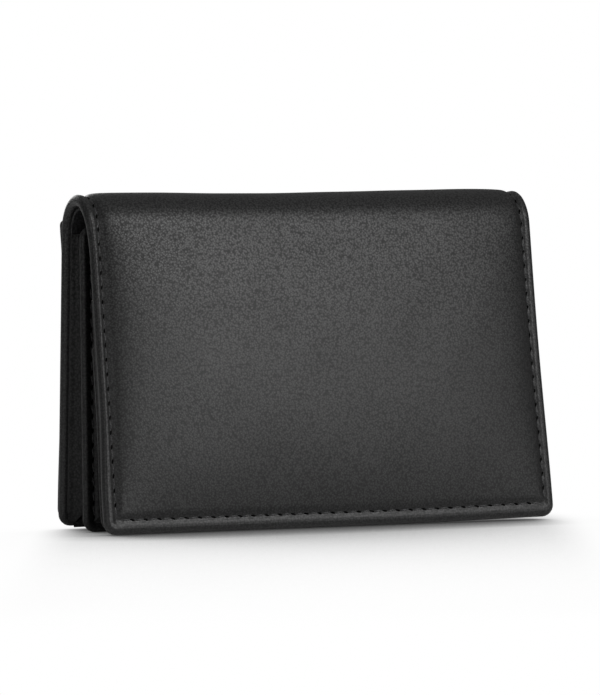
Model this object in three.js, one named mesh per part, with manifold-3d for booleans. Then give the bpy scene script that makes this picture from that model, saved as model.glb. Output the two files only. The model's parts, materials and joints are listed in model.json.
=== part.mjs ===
// Gusseted card wallet, standing on the lower edges of its two halves like a tent.
// The back half carries a gusseted card pocket inside and a slip pocket outside. The front half is
// a padded flap with two card slots inside. A rolled fold along the top joins the halves.
// Millimetres. X runs along the fold, the flap faces -Y and +Z is up. The origin is on the surface
// that the wallet stands on, under the middle of its box.
import * as THREE from 'three';
import { mergeVertices } from 'three/addons/utils/BufferGeometryUtils.js';
import Module from 'manifold-3d';

const wasm = await Module();
wasm.setup();

// Overall size and stance
const CASE_WIDTH = 102;
const CASE_HEIGHT = 70;
const FOLD_RADIUS = 8; // outside of the rolled fold
const BACK_LEAN = THREE.MathUtils.degToRad(3.9);
const FLAP_LEAN = THREE.MathUtils.degToRad(7.6);
const CORNER_RADIUS = 2.5;

// Cover: leather turned over a board, with a lining over the turned hem
const COVER_LEATHER = 1.0;
const HEM_LEATHER = 0.6;
const HEM_WIDTH = 8;
const BOARD = 0.6;
const BOARD_FOLD_SPACE = 3; // the boards stop this far below the fold
const INTERLINING = 0.5;
const LINING = 0.6;
const LINING_INSET = 1.2;
const LAYER_GAP = 0.15; // glue line between two layers
const CREASE_GAP = 0.3; // between the strips of the cover at a crease of the fold

// Padding that swells the flap's leather
const SWELL_RISE = 0.8;
const SWELL_RUN = 5; // width of its rounded shoulder
const SWELL_INSET = 3.4; // from the flap's edge to the foot of the shoulder, outside the stitching
const SWELL_SINK = 0.1; // depth of its straight side, inside the leather
const PADDING_SLACK = 0.3;

// Card slots on the inside of the flap
const SLOT_LEATHER = 1.2;
const SLOT_ROOM = 0.4;
const SLOT_SEAM = 3;
const SLOT_INSET = 1;
const SLOT_MOUTH = 14; // below the fold's axis
const SLOT_STEP = 10;

// Slip pocket on the outside of the back
const SLIP_LEATHER = 1.2;
const SLIP_ROOM = 0.7;
const SLIP_LINING = 0.3;
const SLIP_SEAM = 3.5;
const SLIP_INSET = 0.8;
const SLIP_TOP = 2; // above the fold's axis, clear of the fold as it curves away

// Front wall of the gusseted card pocket
const POCKET_MOUTH = 4.4; // clear width of the pocket at the fold's axis
const POCKET_HEIGHT = 63.5;
const POCKET_INSET = 1;
const POCKET_LEATHER = 1.0;
const POCKET_RIM = 1.2; // turned edge around the wall's board and lining
const POCKET_BOARD = 0.4;
const POCKET_LINING = 0.4;

// Gusset: each side and the base is a V of two leaves that meet at a fold inside the pocket
const GUSSET_LEATHER = 0.5;
const GUSSET_SPREAD = THREE.MathUtils.degToRad(55); // of each leaf from the wall that carries it
const GUSSET_INSET = 2.5;
const GUSSET_STANDOFF = 0.65; // from the wall to the middle of a leaf's root
const GUSSET_TOP_SPACE = 0.5; // below the fold's axis
const GUSSET_BASE_RISE = 1.6; // above the lower edge of the back
const GUSSET_FOLD_SPACE = 0.75; // taken off each leaf at the fold
const GUSSET_MITRE_SPACE = 0.4;

// Fineness of round shapes, and how far a cut runs past what it cuts
const CORNER_STEPS = 5;
const FOLD_STEPS = 8;
const SWELL_STEPS = 4;
const OVERCUT = 0.2;
const WELD = 1e-3;

// Depths of the cover's layers, counted inwards from its outer face
const CORE_DEPTH = COVER_LEATHER + BOARD + 2 * LAYER_GAP;
const HEM_DEPTH = CORE_DEPTH + HEM_LEATHER;
const LINING_DEPTH = HEM_DEPTH + LAYER_GAP;
const COVER_DEPTH = LINING_DEPTH + LINING;

// The fold turns from the back to the flap and creases at three lines, a sixth, a half and five
// sixths of the way round, so each half of the wallet has a lip and a strip of its own
const HALF_WIDTH = CASE_WIDTH / 2;
const FOLD_HEIGHT = CASE_HEIGHT - FOLD_RADIUS;
const FOLD_TURN = Math.PI - BACK_LEAN - FLAP_LEAN;
const LIP_CREASE = FOLD_TURN / 6;
const CROWN_CREASE = FOLD_TURN / 2;
const CREASE_ANGLE = CREASE_GAP / 2 / FOLD_RADIUS;
const LIP_END = LIP_CREASE - CREASE_ANGLE;
const STRIP_START = LIP_CREASE + CREASE_ANGLE;
const STRIP_END = CROWN_CREASE - CREASE_ANGLE;
const BACK_BOTTOM = lowerEdge(BACK_LEAN);
const FLAP_BOTTOM = lowerEdge(FLAP_LEAN);

// The pocket is a wedge between the back and its front wall. The planes of the gusset's roots meet
// at an apex above the wallet, and every leaf tapers towards it.
const POCKET_WALL = POCKET_LEATHER + POCKET_BOARD + POCKET_LINING + 2 * LAYER_GAP;
const POCKET_REAR_Y = (FOLD_RADIUS - COVER_DEPTH) / Math.cos(BACK_LEAN) - POCKET_MOUTH;
const POCKET_FRONT_Y = POCKET_REAR_Y - POCKET_WALL;
const ROOT_HALF = HALF_WIDTH - GUSSET_INSET;
const BACK_ROOT_Y = FOLD_RADIUS - COVER_DEPTH - GUSSET_STANDOFF;
const WALL_ROOT_Y = -POCKET_WALL - GUSSET_STANDOFF;
const BACK_APEX = (BACK_ROOT_Y * Math.cos(BACK_LEAN) - POCKET_REAR_Y - GUSSET_STANDOFF) / Math.sin(BACK_LEAN);
const WALL_APEX = FOLD_HEIGHT + BACK_ROOT_Y * Math.sin(BACK_LEAN) + BACK_APEX * Math.cos(BACK_LEAN);
const APEX_TO_TOP = BACK_APEX + GUSSET_TOP_SPACE;
const APEX_TO_BASE = BACK_APEX - BACK_BOTTOM - GUSSET_BASE_RISE;
const HALF_WEDGE = Math.tan(BACK_LEAN / 2);
const LEAF_TAPER = HALF_WEDGE / Math.sin(GUSSET_SPREAD);

// Drawn outlines lie in X and Y and extrude along Z. A panel's outline is drawn in its X and Z and
// grows inwards, along -Y. A section is drawn in the panel's Y and Z and grows along X.
const OUTLINE_TO_PANEL = new THREE.Matrix4().makeBasis(
  new THREE.Vector3(1, 0, 0),
  new THREE.Vector3(0, 0, 1),
  new THREE.Vector3(0, -1, 0),
);
const SECTION_TO_PANEL = new THREE.Matrix4().makeBasis(
  new THREE.Vector3(0, 1, 0),
  new THREE.Vector3(0, 0, 1),
  new THREE.Vector3(1, 0, 0),
);

const LEATHER_LOOK = { color: 0x2c2c2e, roughness: 0.5, metalness: 0 };
const LINING_LOOK = { color: 0x262628, roughness: 0.6, metalness: 0 };
const CLOTH_LOOK = { color: 0x1f1f22, roughness: 0.9, metalness: 0 };
const BOARD_LOOK = { color: 0x8a7a62, roughness: 0.9, metalness: 0 };
const FOAM_LOOK = { color: 0x9a9a96, roughness: 0.95, metalness: 0 };

// Lowest edge of a leaning half, so that its turned edge stands on the ground
function lowerEdge(lean) {
  const ground = FOLD_HEIGHT + (FOLD_RADIUS - HEM_DEPTH) * Math.sin(lean);
  return -ground / Math.cos(lean);
}

// Closed geometry to a solid that can be cut and joined
function toSolid(geometry) {
  geometry.deleteAttribute('normal');
  geometry.deleteAttribute('uv');
  const welded = mergeVertices(geometry, WELD);
  return new wasm.Manifold(new wasm.Mesh({
    numProp: 3,
    vertProperties: new Float32Array(welded.attributes.position.array),
    triVerts: new Uint32Array(welded.index.array),
  }));
}

// Solid to a named mesh
function piece(name, solid, look) {
  const { vertProperties, triVerts } = solid.getMesh();
  const geometry = new THREE.BufferGeometry();
  geometry.setAttribute('position', new THREE.BufferAttribute(vertProperties, 3));
  geometry.setIndex(new THREE.BufferAttribute(triVerts, 1));
  geometry.computeVertexNormals();
  const mesh = new THREE.Mesh(geometry, new THREE.MeshStandardMaterial(look));
  mesh.name = name;
  return mesh;
}

// Flat sheet with round lower corners, in a panel's frame, where +Y points out of the wallet
function plate({ half, top, bottom, corner, outer, inner }) {
  const outline = new THREE.Shape();
  outline.moveTo(-half, top);
  outline.lineTo(-half, bottom + corner);
  outline.absarc(-half + corner, bottom + corner, corner, Math.PI, 1.5 * Math.PI, false);
  outline.lineTo(half - corner, bottom);
  outline.absarc(half - corner, bottom + corner, corner, 1.5 * Math.PI, 2 * Math.PI, false);
  outline.lineTo(half, top);
  const options = { depth: outer - inner, bevelEnabled: false, curveSegments: CORNER_STEPS };
  const geometry = new THREE.ExtrudeGeometry(outline, options);
  return toSolid(geometry.applyMatrix4(OUTLINE_TO_PANEL).translate(0, outer, 0));
}

// Solid with one section all along X
function beam(section, half) {
  const options = { depth: 2 * half, bevelEnabled: false, curveSegments: FOLD_STEPS };
  const geometry = new THREE.ExtrudeGeometry(section, options);
  return toSolid(geometry.applyMatrix4(SECTION_TO_PANEL).translate(-half, 0, 0));
}

// Layer of one half of the cover: flat below the fold's axis, and curled above it into its lip
function layer({ inset, bottom, corner, from, to, lipEnd = LIP_END }) {
  const half = HALF_WIDTH - inset;
  const outer = FOLD_RADIUS - from;
  const inner = FOLD_RADIUS - to;
  const section = new THREE.Shape();
  section.moveTo(outer, bottom);
  section.lineTo(outer, 0);
  section.absarc(0, 0, outer, 0, lipEnd, false);
  section.absarc(0, 0, inner, lipEnd, 0, true);
  section.lineTo(inner, bottom);
  const reach = FOLD_RADIUS + OVERCUT;
  const outline = plate({ half, top: reach, bottom: bottom + inset, corner, outer: reach, inner: 0 });
  return beam(section, half + OVERCUT).intersect(outline);
}

// Layer of one strip of the fold
function strip({ inset, from, to, overrun = 0 }) {
  const section = new THREE.Shape();
  const start = STRIP_START - overrun;
  const end = STRIP_END + overrun;
  section.absarc(0, 0, FOLD_RADIUS - from, start, end, false);
  section.absarc(0, 0, FOLD_RADIUS - to, end, start, true);
  return beam(section, HALF_WIDTH - inset);
}

// Where the leather of one half leaves room: the slot for its board, and the window that its
// turned hem frames
function coreSlot(bottom) {
  return layer({
    inset: COVER_LEATHER,
    bottom,
    corner: CORNER_RADIUS - COVER_LEATHER,
    from: COVER_LEATHER,
    to: CORE_DEPTH,
    lipEnd: LIP_END + OVERCUT,
  });
}

function hemWindow(bottom) {
  return layer({
    inset: HEM_WIDTH,
    bottom,
    corner: CORNER_RADIUS,
    from: CORE_DEPTH - OVERCUT,
    to: HEM_DEPTH + OVERCUT,
    lipEnd: LIP_END + OVERCUT,
  });
}

// Leather of one half, with its edges turned in at the sides and along the bottom
function coverLeather(bottom) {
  const block = layer({ inset: 0, bottom, corner: CORNER_RADIUS, from: 0, to: HEM_DEPTH });
  return block.subtract(coreSlot(bottom)).subtract(hemWindow(bottom));
}

// Leather of one strip of the fold, with its ends turned in
function stripLeather() {
  const block = strip({ inset: 0, from: 0, to: HEM_DEPTH });
  const core = strip({ inset: COVER_LEATHER, from: COVER_LEATHER, to: CORE_DEPTH, overrun: OVERCUT });
  const gap = strip({
    inset: HEM_WIDTH,
    from: CORE_DEPTH - OVERCUT,
    to: HEM_DEPTH + OVERCUT,
    overrun: OVERCUT,
  });
  return block.subtract(core).subtract(gap);
}

// Board of one half: it fills the slot, and a raised field levels the window inside the hem
function stiffener(bottom) {
  const top = -BOARD_FOLD_SPACE;
  const edge = COVER_LEATHER + LAYER_GAP;
  const field = HEM_WIDTH + LAYER_GAP;
  const sheet = plate({
    half: HALF_WIDTH - edge,
    top,
    bottom: bottom + edge,
    corner: CORNER_RADIUS - COVER_LEATHER,
    outer: FOLD_RADIUS - edge,
    inner: FOLD_RADIUS - edge - BOARD,
  });
  const raised = plate({
    half: HALF_WIDTH - field,
    top,
    bottom: bottom + field,
    corner: CORNER_RADIUS,
    outer: FOLD_RADIUS - edge,
    inner: FOLD_RADIUS - HEM_DEPTH,
  });
  return sheet.add(raised);
}

// Lining of one half, over the hem
function halfLining(bottom) {
  const edge = { inset: LINING_INSET, corner: CORNER_RADIUS };
  return layer({ ...edge, bottom, from: LINING_DEPTH, to: COVER_DEPTH });
}

// Pillow with a rounded shoulder, centred on the flap's flat part
function swelling(slack) {
  const inset = SWELL_INSET + SWELL_RUN;
  const half = HALF_WIDTH - inset;
  const low = FLAP_BOTTOM + inset;
  const high = -inset;
  const outline = new THREE.Shape();
  outline.moveTo(-half, high);
  outline.lineTo(-half, low);
  outline.lineTo(half, low);
  outline.lineTo(half, high);
  const geometry = new THREE.ExtrudeGeometry(outline, {
    depth: SWELL_SINK,
    bevelThickness: SWELL_RISE - slack / 2,
    bevelSize: SWELL_RUN - slack,
    bevelSegments: SWELL_STEPS,
  });
  return geometry.applyMatrix4(OUTLINE_TO_PANEL);
}

// Flap leather, raised over the padding
function flapLeather() {
  const raised = toSolid(swelling(0).translate(0, FOLD_RADIUS, 0));
  const hollow = toSolid(swelling(0).translate(0, FOLD_RADIUS - COVER_LEATHER, 0));
  const block = layer({ inset: 0, bottom: FLAP_BOTTOM, corner: CORNER_RADIUS, from: 0, to: HEM_DEPTH });
  const cut = coreSlot(FLAP_BOTTOM).add(hemWindow(FLAP_BOTTOM)).add(hollow);
  return block.add(raised).subtract(cut);
}

// Foam between the flap's leather and its board
function flapPadding() {
  const pillow = toSolid(swelling(PADDING_SLACK).translate(0, FOLD_RADIUS - COVER_LEATHER, 0));
  return pillow.subtract(coreSlot(FLAP_BOTTOM));
}

// Pocket sheet sewn on at its sides and bottom, hollowed a little behind its open top
function pocketSheet({ inset, seam, bottom, top, corner, outer, thickness, room }) {
  const half = HALF_WIDTH - inset;
  const low = bottom + inset;
  const sheet = plate({ half, top, bottom: low, corner, outer, inner: outer - thickness });
  return { sheet, hollow: { half: half - seam, top: top + OVERCUT, bottom: low + seam, corner, room } };
}

// Card slot: a sheet on the flap's lining, hollowed on the side towards the lining
function cardSlot(order) {
  const outer = FOLD_RADIUS - COVER_DEPTH - LAYER_GAP - order * (SLOT_LEATHER + LAYER_GAP);
  const { sheet, hollow } = pocketSheet({
    inset: SLOT_INSET,
    seam: SLOT_SEAM,
    bottom: FLAP_BOTTOM,
    top: -SLOT_MOUTH - order * SLOT_STEP,
    corner: CORNER_RADIUS,
    outer,
    thickness: SLOT_LEATHER,
    room: SLOT_ROOM,
  });
  return sheet.subtract(plate({ ...hollow, outer: outer + OVERCUT, inner: outer - hollow.room }));
}

// Slip pocket: a sheet outside the back's leather, hollowed towards it, with its lining inside
const SLIP_FACE = FOLD_RADIUS + LAYER_GAP + SLIP_LEATHER;

function slipPocket() {
  return pocketSheet({
    inset: SLIP_INSET,
    seam: SLIP_SEAM,
    bottom: BACK_BOTTOM,
    top: SLIP_TOP,
    corner: CORNER_RADIUS,
    outer: SLIP_FACE,
    thickness: SLIP_LEATHER,
    room: SLIP_ROOM,
  });
}

function slipLeather() {
  const { sheet, hollow } = slipPocket();
  const wall = SLIP_FACE - SLIP_LEATHER;
  return sheet.subtract(plate({ ...hollow, outer: wall + hollow.room, inner: wall - OVERCUT }));
}

function slipLining() {
  const { hollow } = slipPocket();
  const outer = SLIP_FACE - SLIP_LEATHER + SLIP_ROOM - LAYER_GAP;
  return plate({
    half: hollow.half - LAYER_GAP,
    top: SLIP_TOP - SLIP_INSET,
    bottom: hollow.bottom + LAYER_GAP,
    corner: hollow.corner,
    outer,
    inner: outer - SLIP_LINING,
  });
}

// Front wall of the card pocket, in its own frame: Y zero is its outer face, Z zero the ground
const WALL_HALF = HALF_WIDTH - POCKET_INSET;

function wallSheet(inset, from, to) {
  return plate({
    half: WALL_HALF - inset,
    top: POCKET_HEIGHT - inset,
    bottom: inset,
    corner: CORNER_RADIUS,
    outer: -from,
    inner: -to,
  });
}

function wallLeather() {
  const block = wallSheet(0, 0, POCKET_WALL);
  return block.subtract(wallSheet(POCKET_RIM, POCKET_LEATHER, POCKET_WALL + OVERCUT));
}

function wallBoard() {
  const from = POCKET_LEATHER + LAYER_GAP;
  return wallSheet(POCKET_RIM + LAYER_GAP, from, from + POCKET_BOARD);
}

function wallLining() {
  return wallSheet(POCKET_RIM + LAYER_GAP, POCKET_WALL - POCKET_LINING, POCKET_WALL);
}

// Flat leaf drawn in its own X and Z, with its root along the Z axis or the X axis
function leaf(points) {
  const outline = new THREE.Shape(points.map(([x, z]) => new THREE.Vector2(x, z)));
  const options = { depth: GUSSET_LEATHER, bevelEnabled: false };
  const geometry = new THREE.ExtrudeGeometry(outline, options);
  return toSolid(geometry.applyMatrix4(OUTLINE_TO_PANEL).translate(0, GUSSET_LEATHER / 2, 0));
}

// Side leaf: its lower end is mitred to meet the base, and its fold edge points at the apex
function sideLeaf(apex) {
  const low = apex - APEX_TO_BASE + GUSSET_MITRE_SPACE;
  const high = apex - APEX_TO_TOP;
  const lowReach = ((apex - low) * LEAF_TAPER - GUSSET_FOLD_SPACE) / (1 + LEAF_TAPER);
  const highReach = APEX_TO_TOP * LEAF_TAPER - GUSSET_FOLD_SPACE;
  return leaf([[0, low], [lowReach, low + lowReach], [highReach, high], [0, high]]);
}

// Base leaf: it folds up into the pocket, with mitred ends
function baseLeaf() {
  const fold = Math.sin(GUSSET_SPREAD) + Math.cos(GUSSET_SPREAD) * HALF_WEDGE;
  const reach = APEX_TO_BASE * HALF_WEDGE / fold - GUSSET_FOLD_SPACE;
  const long = ROOT_HALF - GUSSET_MITRE_SPACE;
  return leaf([[-long, 0], [long, 0], [long - reach, reach], [-long + reach, reach]]);
}

// Leaf hung on its root line, turned from the wall into the pocket
function hang(mesh, x, y, z, turnX, turnZ) {
  mesh.position.set(x, y, z);
  mesh.rotation.set(turnX, 0, turnZ);
  return mesh;
}

// Gusset leaves on one wall, whose inside is towards -Y. low and high name the sides at -X and +X.
function gussetLeaves({ low, high, base, rootY, apex }) {
  const lowLeaf = piece(low, sideLeaf(apex), LEATHER_LOOK);
  const highLeaf = piece(high, sideLeaf(apex), LEATHER_LOOK);
  const bottomLeaf = piece(base, baseLeaf(), LEATHER_LOOK);
  return [
    hang(lowLeaf, -ROOT_HALF, rootY, 0, 0, -GUSSET_SPREAD),
    hang(highLeaf, ROOT_HALF, rootY, 0, 0, Math.PI + GUSSET_SPREAD),
    hang(bottomLeaf, 0, rootY, apex - APEX_TO_BASE, GUSSET_SPREAD, 0),
  ];
}

// Strip of the fold with its interlining and lining
function foldStrip(side) {
  const inner = COVER_LEATHER + LAYER_GAP;
  const interlining = strip({ inset: inner, from: inner, to: inner + INTERLINING });
  const lining = strip({ inset: LINING_INSET, from: LINING_DEPTH, to: COVER_DEPTH });
  return [
    piece(`cover_spine_${side}`, stripLeather(), LEATHER_LOOK),
    piece(`interlining_spine_${side}`, interlining, CLOTH_LOOK),
    piece(`lining_spine_${side}`, lining, LINING_LOOK),
  ];
}

const back = new THREE.Group();
back.position.z = FOLD_HEIGHT;
back.rotation.x = BACK_LEAN;
back.add(
  piece('cover_back', coverLeather(BACK_BOTTOM), LEATHER_LOOK),
  piece('back_board', stiffener(BACK_BOTTOM), BOARD_LOOK),
  piece('back_lining', halfLining(BACK_BOTTOM), LINING_LOOK),
  piece('slip_pocket_leather', slipLeather(), LEATHER_LOOK),
  piece('slip_pocket_lining', slipLining(), CLOTH_LOOK),
  ...foldStrip('rear'),
  ...gussetLeaves({
    low: 'gusset_left_rear',
    high: 'gusset_right_rear',
    base: 'gusset_base_rear',
    rootY: BACK_ROOT_Y,
    apex: BACK_APEX,
  }),
);

const flap = new THREE.Group();
flap.position.z = FOLD_HEIGHT;
flap.rotation.set(-FLAP_LEAN, 0, Math.PI);
flap.add(
  piece('cover_flap', flapLeather(), LEATHER_LOOK),
  piece('flap_padding', flapPadding(), FOAM_LOOK),
  piece('flap_board', stiffener(FLAP_BOTTOM), BOARD_LOOK),
  piece('flap_lining', halfLining(FLAP_BOTTOM), LINING_LOOK),
  piece('card_slot_upper', cardSlot(0), LEATHER_LOOK),
  piece('card_slot_lower', cardSlot(1), LEATHER_LOOK),
  ...foldStrip('front'),
);

const pocketFront = new THREE.Group();
pocketFront.position.y = POCKET_FRONT_Y;
pocketFront.rotation.z = Math.PI;
pocketFront.add(
  piece('pocket_front_leather', wallLeather(), LEATHER_LOOK),
  piece('pocket_front_board', wallBoard(), BOARD_LOOK),
  piece('pocket_front_lining', wallLining(), CLOTH_LOOK),
  ...gussetLeaves({
    low: 'gusset_right_front',
    high: 'gusset_left_front',
    base: 'gusset_base_front',
    rootY: WALL_ROOT_Y,
    apex: WALL_APEX,
  }),
);

const wallet = new THREE.Group();
wallet.add(back, flap, pocketFront);

// The origin goes under the middle of the box
wallet.updateMatrixWorld(true);
const box = new THREE.Box3().setFromObject(wallet, true);
wallet.position.y = -(box.min.y + box.max.y) / 2;

export default wallet;
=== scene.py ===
import json
import math
from collections import namedtuple
from functools import cache

import bmesh
import bpy
import numpy as np
from bpy.props import FloatProperty, FloatVectorProperty, PointerProperty
from mathutils import Color, Matrix, Vector


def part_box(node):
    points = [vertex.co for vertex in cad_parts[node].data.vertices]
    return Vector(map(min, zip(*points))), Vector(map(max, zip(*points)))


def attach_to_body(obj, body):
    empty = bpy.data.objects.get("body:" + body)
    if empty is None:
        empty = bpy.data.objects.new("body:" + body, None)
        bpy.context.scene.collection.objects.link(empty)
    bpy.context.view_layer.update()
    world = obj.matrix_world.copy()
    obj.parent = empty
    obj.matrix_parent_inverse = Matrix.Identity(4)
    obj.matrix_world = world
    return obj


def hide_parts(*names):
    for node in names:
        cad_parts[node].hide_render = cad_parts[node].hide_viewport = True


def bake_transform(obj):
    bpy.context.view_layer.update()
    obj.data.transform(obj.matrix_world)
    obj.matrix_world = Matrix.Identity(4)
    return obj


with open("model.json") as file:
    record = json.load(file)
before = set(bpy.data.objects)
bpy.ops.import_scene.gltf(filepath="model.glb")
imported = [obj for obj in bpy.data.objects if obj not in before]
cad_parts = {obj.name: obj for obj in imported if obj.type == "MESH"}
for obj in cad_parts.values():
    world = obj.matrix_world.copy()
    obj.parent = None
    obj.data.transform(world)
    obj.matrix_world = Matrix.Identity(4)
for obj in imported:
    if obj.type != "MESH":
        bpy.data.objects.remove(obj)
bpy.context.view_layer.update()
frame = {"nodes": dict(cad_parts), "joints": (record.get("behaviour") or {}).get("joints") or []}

bl_info = {
    "name": "Gusseted card wallet",
    "version": (1, 0, 0),
    "blender": (4, 5, 0),
    "location": "3D View > Sidebar > Wallet",
    "description": "Makes the leather, cloth and stitching of a gusseted card wallet on its CAD frame",
    "category": "Object",
}

MM = 0.001
WELD = 1e-7  # points nearer to each other than this are one
LOOK_STEP = 0.02 * MM  # step with which the direction of a surface is felt
SMOOTH_ANGLE = math.radians(40)
JOINTS = {joint["name"]: joint for joint in frame["joints"]}


def hinge(name):
    """Place of a joint in the frame."""
    return np.array(JOINTS[name]["pos_m"])


def circle_through(first, second, third):
    """Centre and radius of the circle through three points."""
    rows = 2 * np.array([second - first, third - first])
    centre = np.linalg.solve(rows, [second @ second - first @ first, third @ third - first @ first])
    return centre, float(np.linalg.norm(first - centre))


def fold_angle(name):
    """Angle of a crease about the middle of the rolled fold."""
    y, z = hinge(name)[1:] - FOLD_CENTRE
    return math.atan2(z, y)


# The rolled fold: three creases on one circle. Distances along the leather start at the crown.
CREASES = [hinge(name)[1:] for name in ("rear_fold", "crown_fold", "flap_fold")]
FOLD_CENTRE, FOLD_RADIUS = circle_through(*CREASES)
CROWN_ANGLE = fold_angle("crown_fold")
STRIP_TURN = CROWN_ANGLE - fold_angle("rear_fold")
HALF_TURN = 1.5 * STRIP_TURN
HALF_ARC = FOLD_RADIUS * HALF_TURN
FOLD_SEAM = HALF_ARC / 3
LIP = HALF_ARC - FOLD_SEAM
BACK_LEAN = CROWN_ANGLE - HALF_TURN
FLAP_LEAN = math.pi - CROWN_ANGLE - HALF_TURN
HALF_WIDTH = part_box("cover_back")[1].x

# Each stretch of the fold: the bodies that it joins, and where it starts and ends
FOLD_PARTS = {
    "back": ("back", "spine_rear", -HALF_ARC, -FOLD_SEAM),
    "fold": ("spine_rear", "spine_front", -FOLD_SEAM, FOLD_SEAM),
    "flap": ("spine_front", "flap", FOLD_SEAM, HALF_ARC),
}


def linear(colour):
    """Linear colour of an sRGB hex value."""
    shown = [int(colour[i:i + 2], 16) / 255 for i in (1, 3, 5)]
    return (*Color(shown).from_srgb_to_scene_linear(), 1)


def length(name, description, millimetres):
    """Property for a length."""
    kind = {"subtype": "DISTANCE", "unit": "LENGTH"}
    return FloatProperty(name=name, description=description, default=millimetres * MM, **kind)


def turn(name, description, degrees):
    """Property for an angle."""
    kind = {"subtype": "ANGLE", "unit": "ROTATION"}
    return FloatProperty(name=name, description=description, default=math.radians(degrees), **kind)


def power(name, description, watts):
    """Property for the power of a lamp."""
    return FloatProperty(name=name, description=description, default=watts, unit="POWER")


def tone(name, description, colour):
    """Property for a colour written as an sRGB hex value."""
    kind = {"subtype": "COLOR", "size": 4}
    return FloatVectorProperty(name=name, description=description, default=linear(colour), **kind)


class WalletSizes(bpy.types.PropertyGroup):
    cover_leather: length("Cover leather", "Thickness of the cover's outer leather", 1.0)
    hem_leather: length("Turned hem", "Thickness of the leather turned in at the edges", 0.6)
    hem_width: length("Hem width", "Width of the turned hem", 8)
    board: length("Board", "Thickness of the stiffening boards", 0.6)
    interlining: length("Interlining", "Thickness of the cloth inside the fold", 0.5)
    lining: length("Lining", "Thickness of the leather lining", 0.6)
    lining_inset: length("Lining inset", "From the cover's edge to the lining's edge", 1.2)
    layer_gap: length("Glue line", "Space between two layers", 0.15)
    corner: length("Corner", "Radius of the lower corners", 2.5)
    edge_roll: length("Edge roll", "Width over which a turned edge rounds off", 0.95)
    crown: length("Crown", "Swell of the padded flap beside its seams", 1.9)
    dome: length("Dome", "Further swell towards the middle of the flap", 0.7)
    shoulder: length("Shoulder", "Width over which the flap swells from its side seams", 9)
    roll: length("Seam roll", "Quick rise of the leather beside the flap's side seams", 0.8)
    roll_width: length("Seam roll width", "Width of that quick rise", 1.8)
    foot_shoulder: length("Foot shoulder", "Width over which the flap swells from its lower seam", 12)
    sag: length("Sag", "How far the fold sinks in its middle", 0.7)
    valley: length("Seam valley", "Depth of the valley that the stitches pull in", 0.42)
    crease: length("Edge crease", "Depth of the line pressed beside the edge", 0.03)
    hem_turn: length("Hem turn", "How far the flap's border curves back to its edge", 0.55)
    lift: length("Lifted corner", "How far the back's lower left corner stands off the ground", 0.7)
    flare: length("Flared corner", "How far the flap's lower right corner spreads", 0.9)
    pinch: length("Pinched border", "How far the flap's left border is drawn in", 0.7)
    flap_lift: length("Lifted flap", "How far the flap's lower right corner stands off the ground", 0.5)
    crease_inset: length("Edge crease inset", "From the edge to the pressed line", 1.25)
    seam: length("Side seam", "From the side edges to the stitches", 2.45)
    hem_seam: length("Lower seam", "From the lower edge to the stitches", 2.9)
    wall_seam: length("Pocket seam", "From the card pocket's edge to its stitches", 2.1)
    pitch: length("Stitch pitch", "From one stitch to the next", 3)
    stitch: length("Stitch length", "Visible length of a stitch", 1.85)
    thread: length("Thread", "Width of the sewing thread", 0.42)
    hole: length("Needle hole", "Length of the slanted needle hole", 1.5)
    slip_leather: length("Slip pocket leather", "Thickness of the slip pocket at its seam", 1.2)
    slip_room: length("Slip pocket room", "Hollow behind the slip pocket", 0.7)
    slip_cloth: length("Slip pocket cloth", "Thickness of the slip pocket's cloth", 0.3)
    slip_inset: length("Slip pocket inset", "From the cover's edge to the slip pocket", 0.8)
    slip_seam: length("Slip pocket seam", "Width of the slip pocket's sewn border", 3.5)
    slip_flare: length("Slip pocket flare", "How far the slip pocket's mouth stands off", 1.4)
    slot_leather: length("Card slot leather", "Thickness of a card slot at its seam", 1.2)
    slot_room: length("Card slot room", "Hollow behind a card slot", 0.4)
    slot_inset: length("Card slot inset", "From the flap's edge to a card slot", 1)
    slot_mouth: length("First slot mouth", "From the fold's axis to the upper mouth", 14)
    slot_step: length("Slot step", "From one slot's mouth to the next", 10)
    wall_leather: length("Pocket leather", "Thickness of the card pocket's leather", 1.0)
    wall_rim: length("Pocket rim", "Width of the rim turned round the pocket wall", 1.2)
    wall_cloth: length("Pocket cloth", "Thickness of the card pocket's cloth", 0.4)
    gusset_leather: length("Gusset leather", "Thickness of the gusset", 0.5)
    gusset_flange: length("Gusset flange", "Width of the gusset's sewn border", 1.3)
    gusset_spread: turn("Gusset spread", "Angle of each gusset leaf from its wall", 55)


class WalletColours(bpy.types.PropertyGroup):
    nappa: tone("Cover nappa", "Black of the cover's leather", "#1d1d1d")
    # The pockets' and the gusset's blacks are darker than the cover's, partly as painted shade of the
    # recesses where they sit
    pocket: tone("Pocket leather", "Black of the pockets' leather", "#131313")
    gusset: tone("Gusset leather", "Black of the gusset", "#0c0c0c")
    lining: tone("Leather lining", "Black of the leather lining", "#141415")
    cloth: tone("Cloth lining", "Black of the woven lining", "#18181a")
    thread: tone("Thread", "Black of the sewing thread", "#1e1e1f")
    # painted shade: the near-black of the pods that stand for the needle holes
    hole: tone("Needle hole", "Shade inside the needle holes", "#060606")
    board: tone("Board", "Brown of the fibre board", "#8c7a60")
    foam: tone("Foam", "Grey of the padding", "#9c9c97")
    floor: tone("Floor", "White of the floor", "#f4f4f4")


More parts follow.
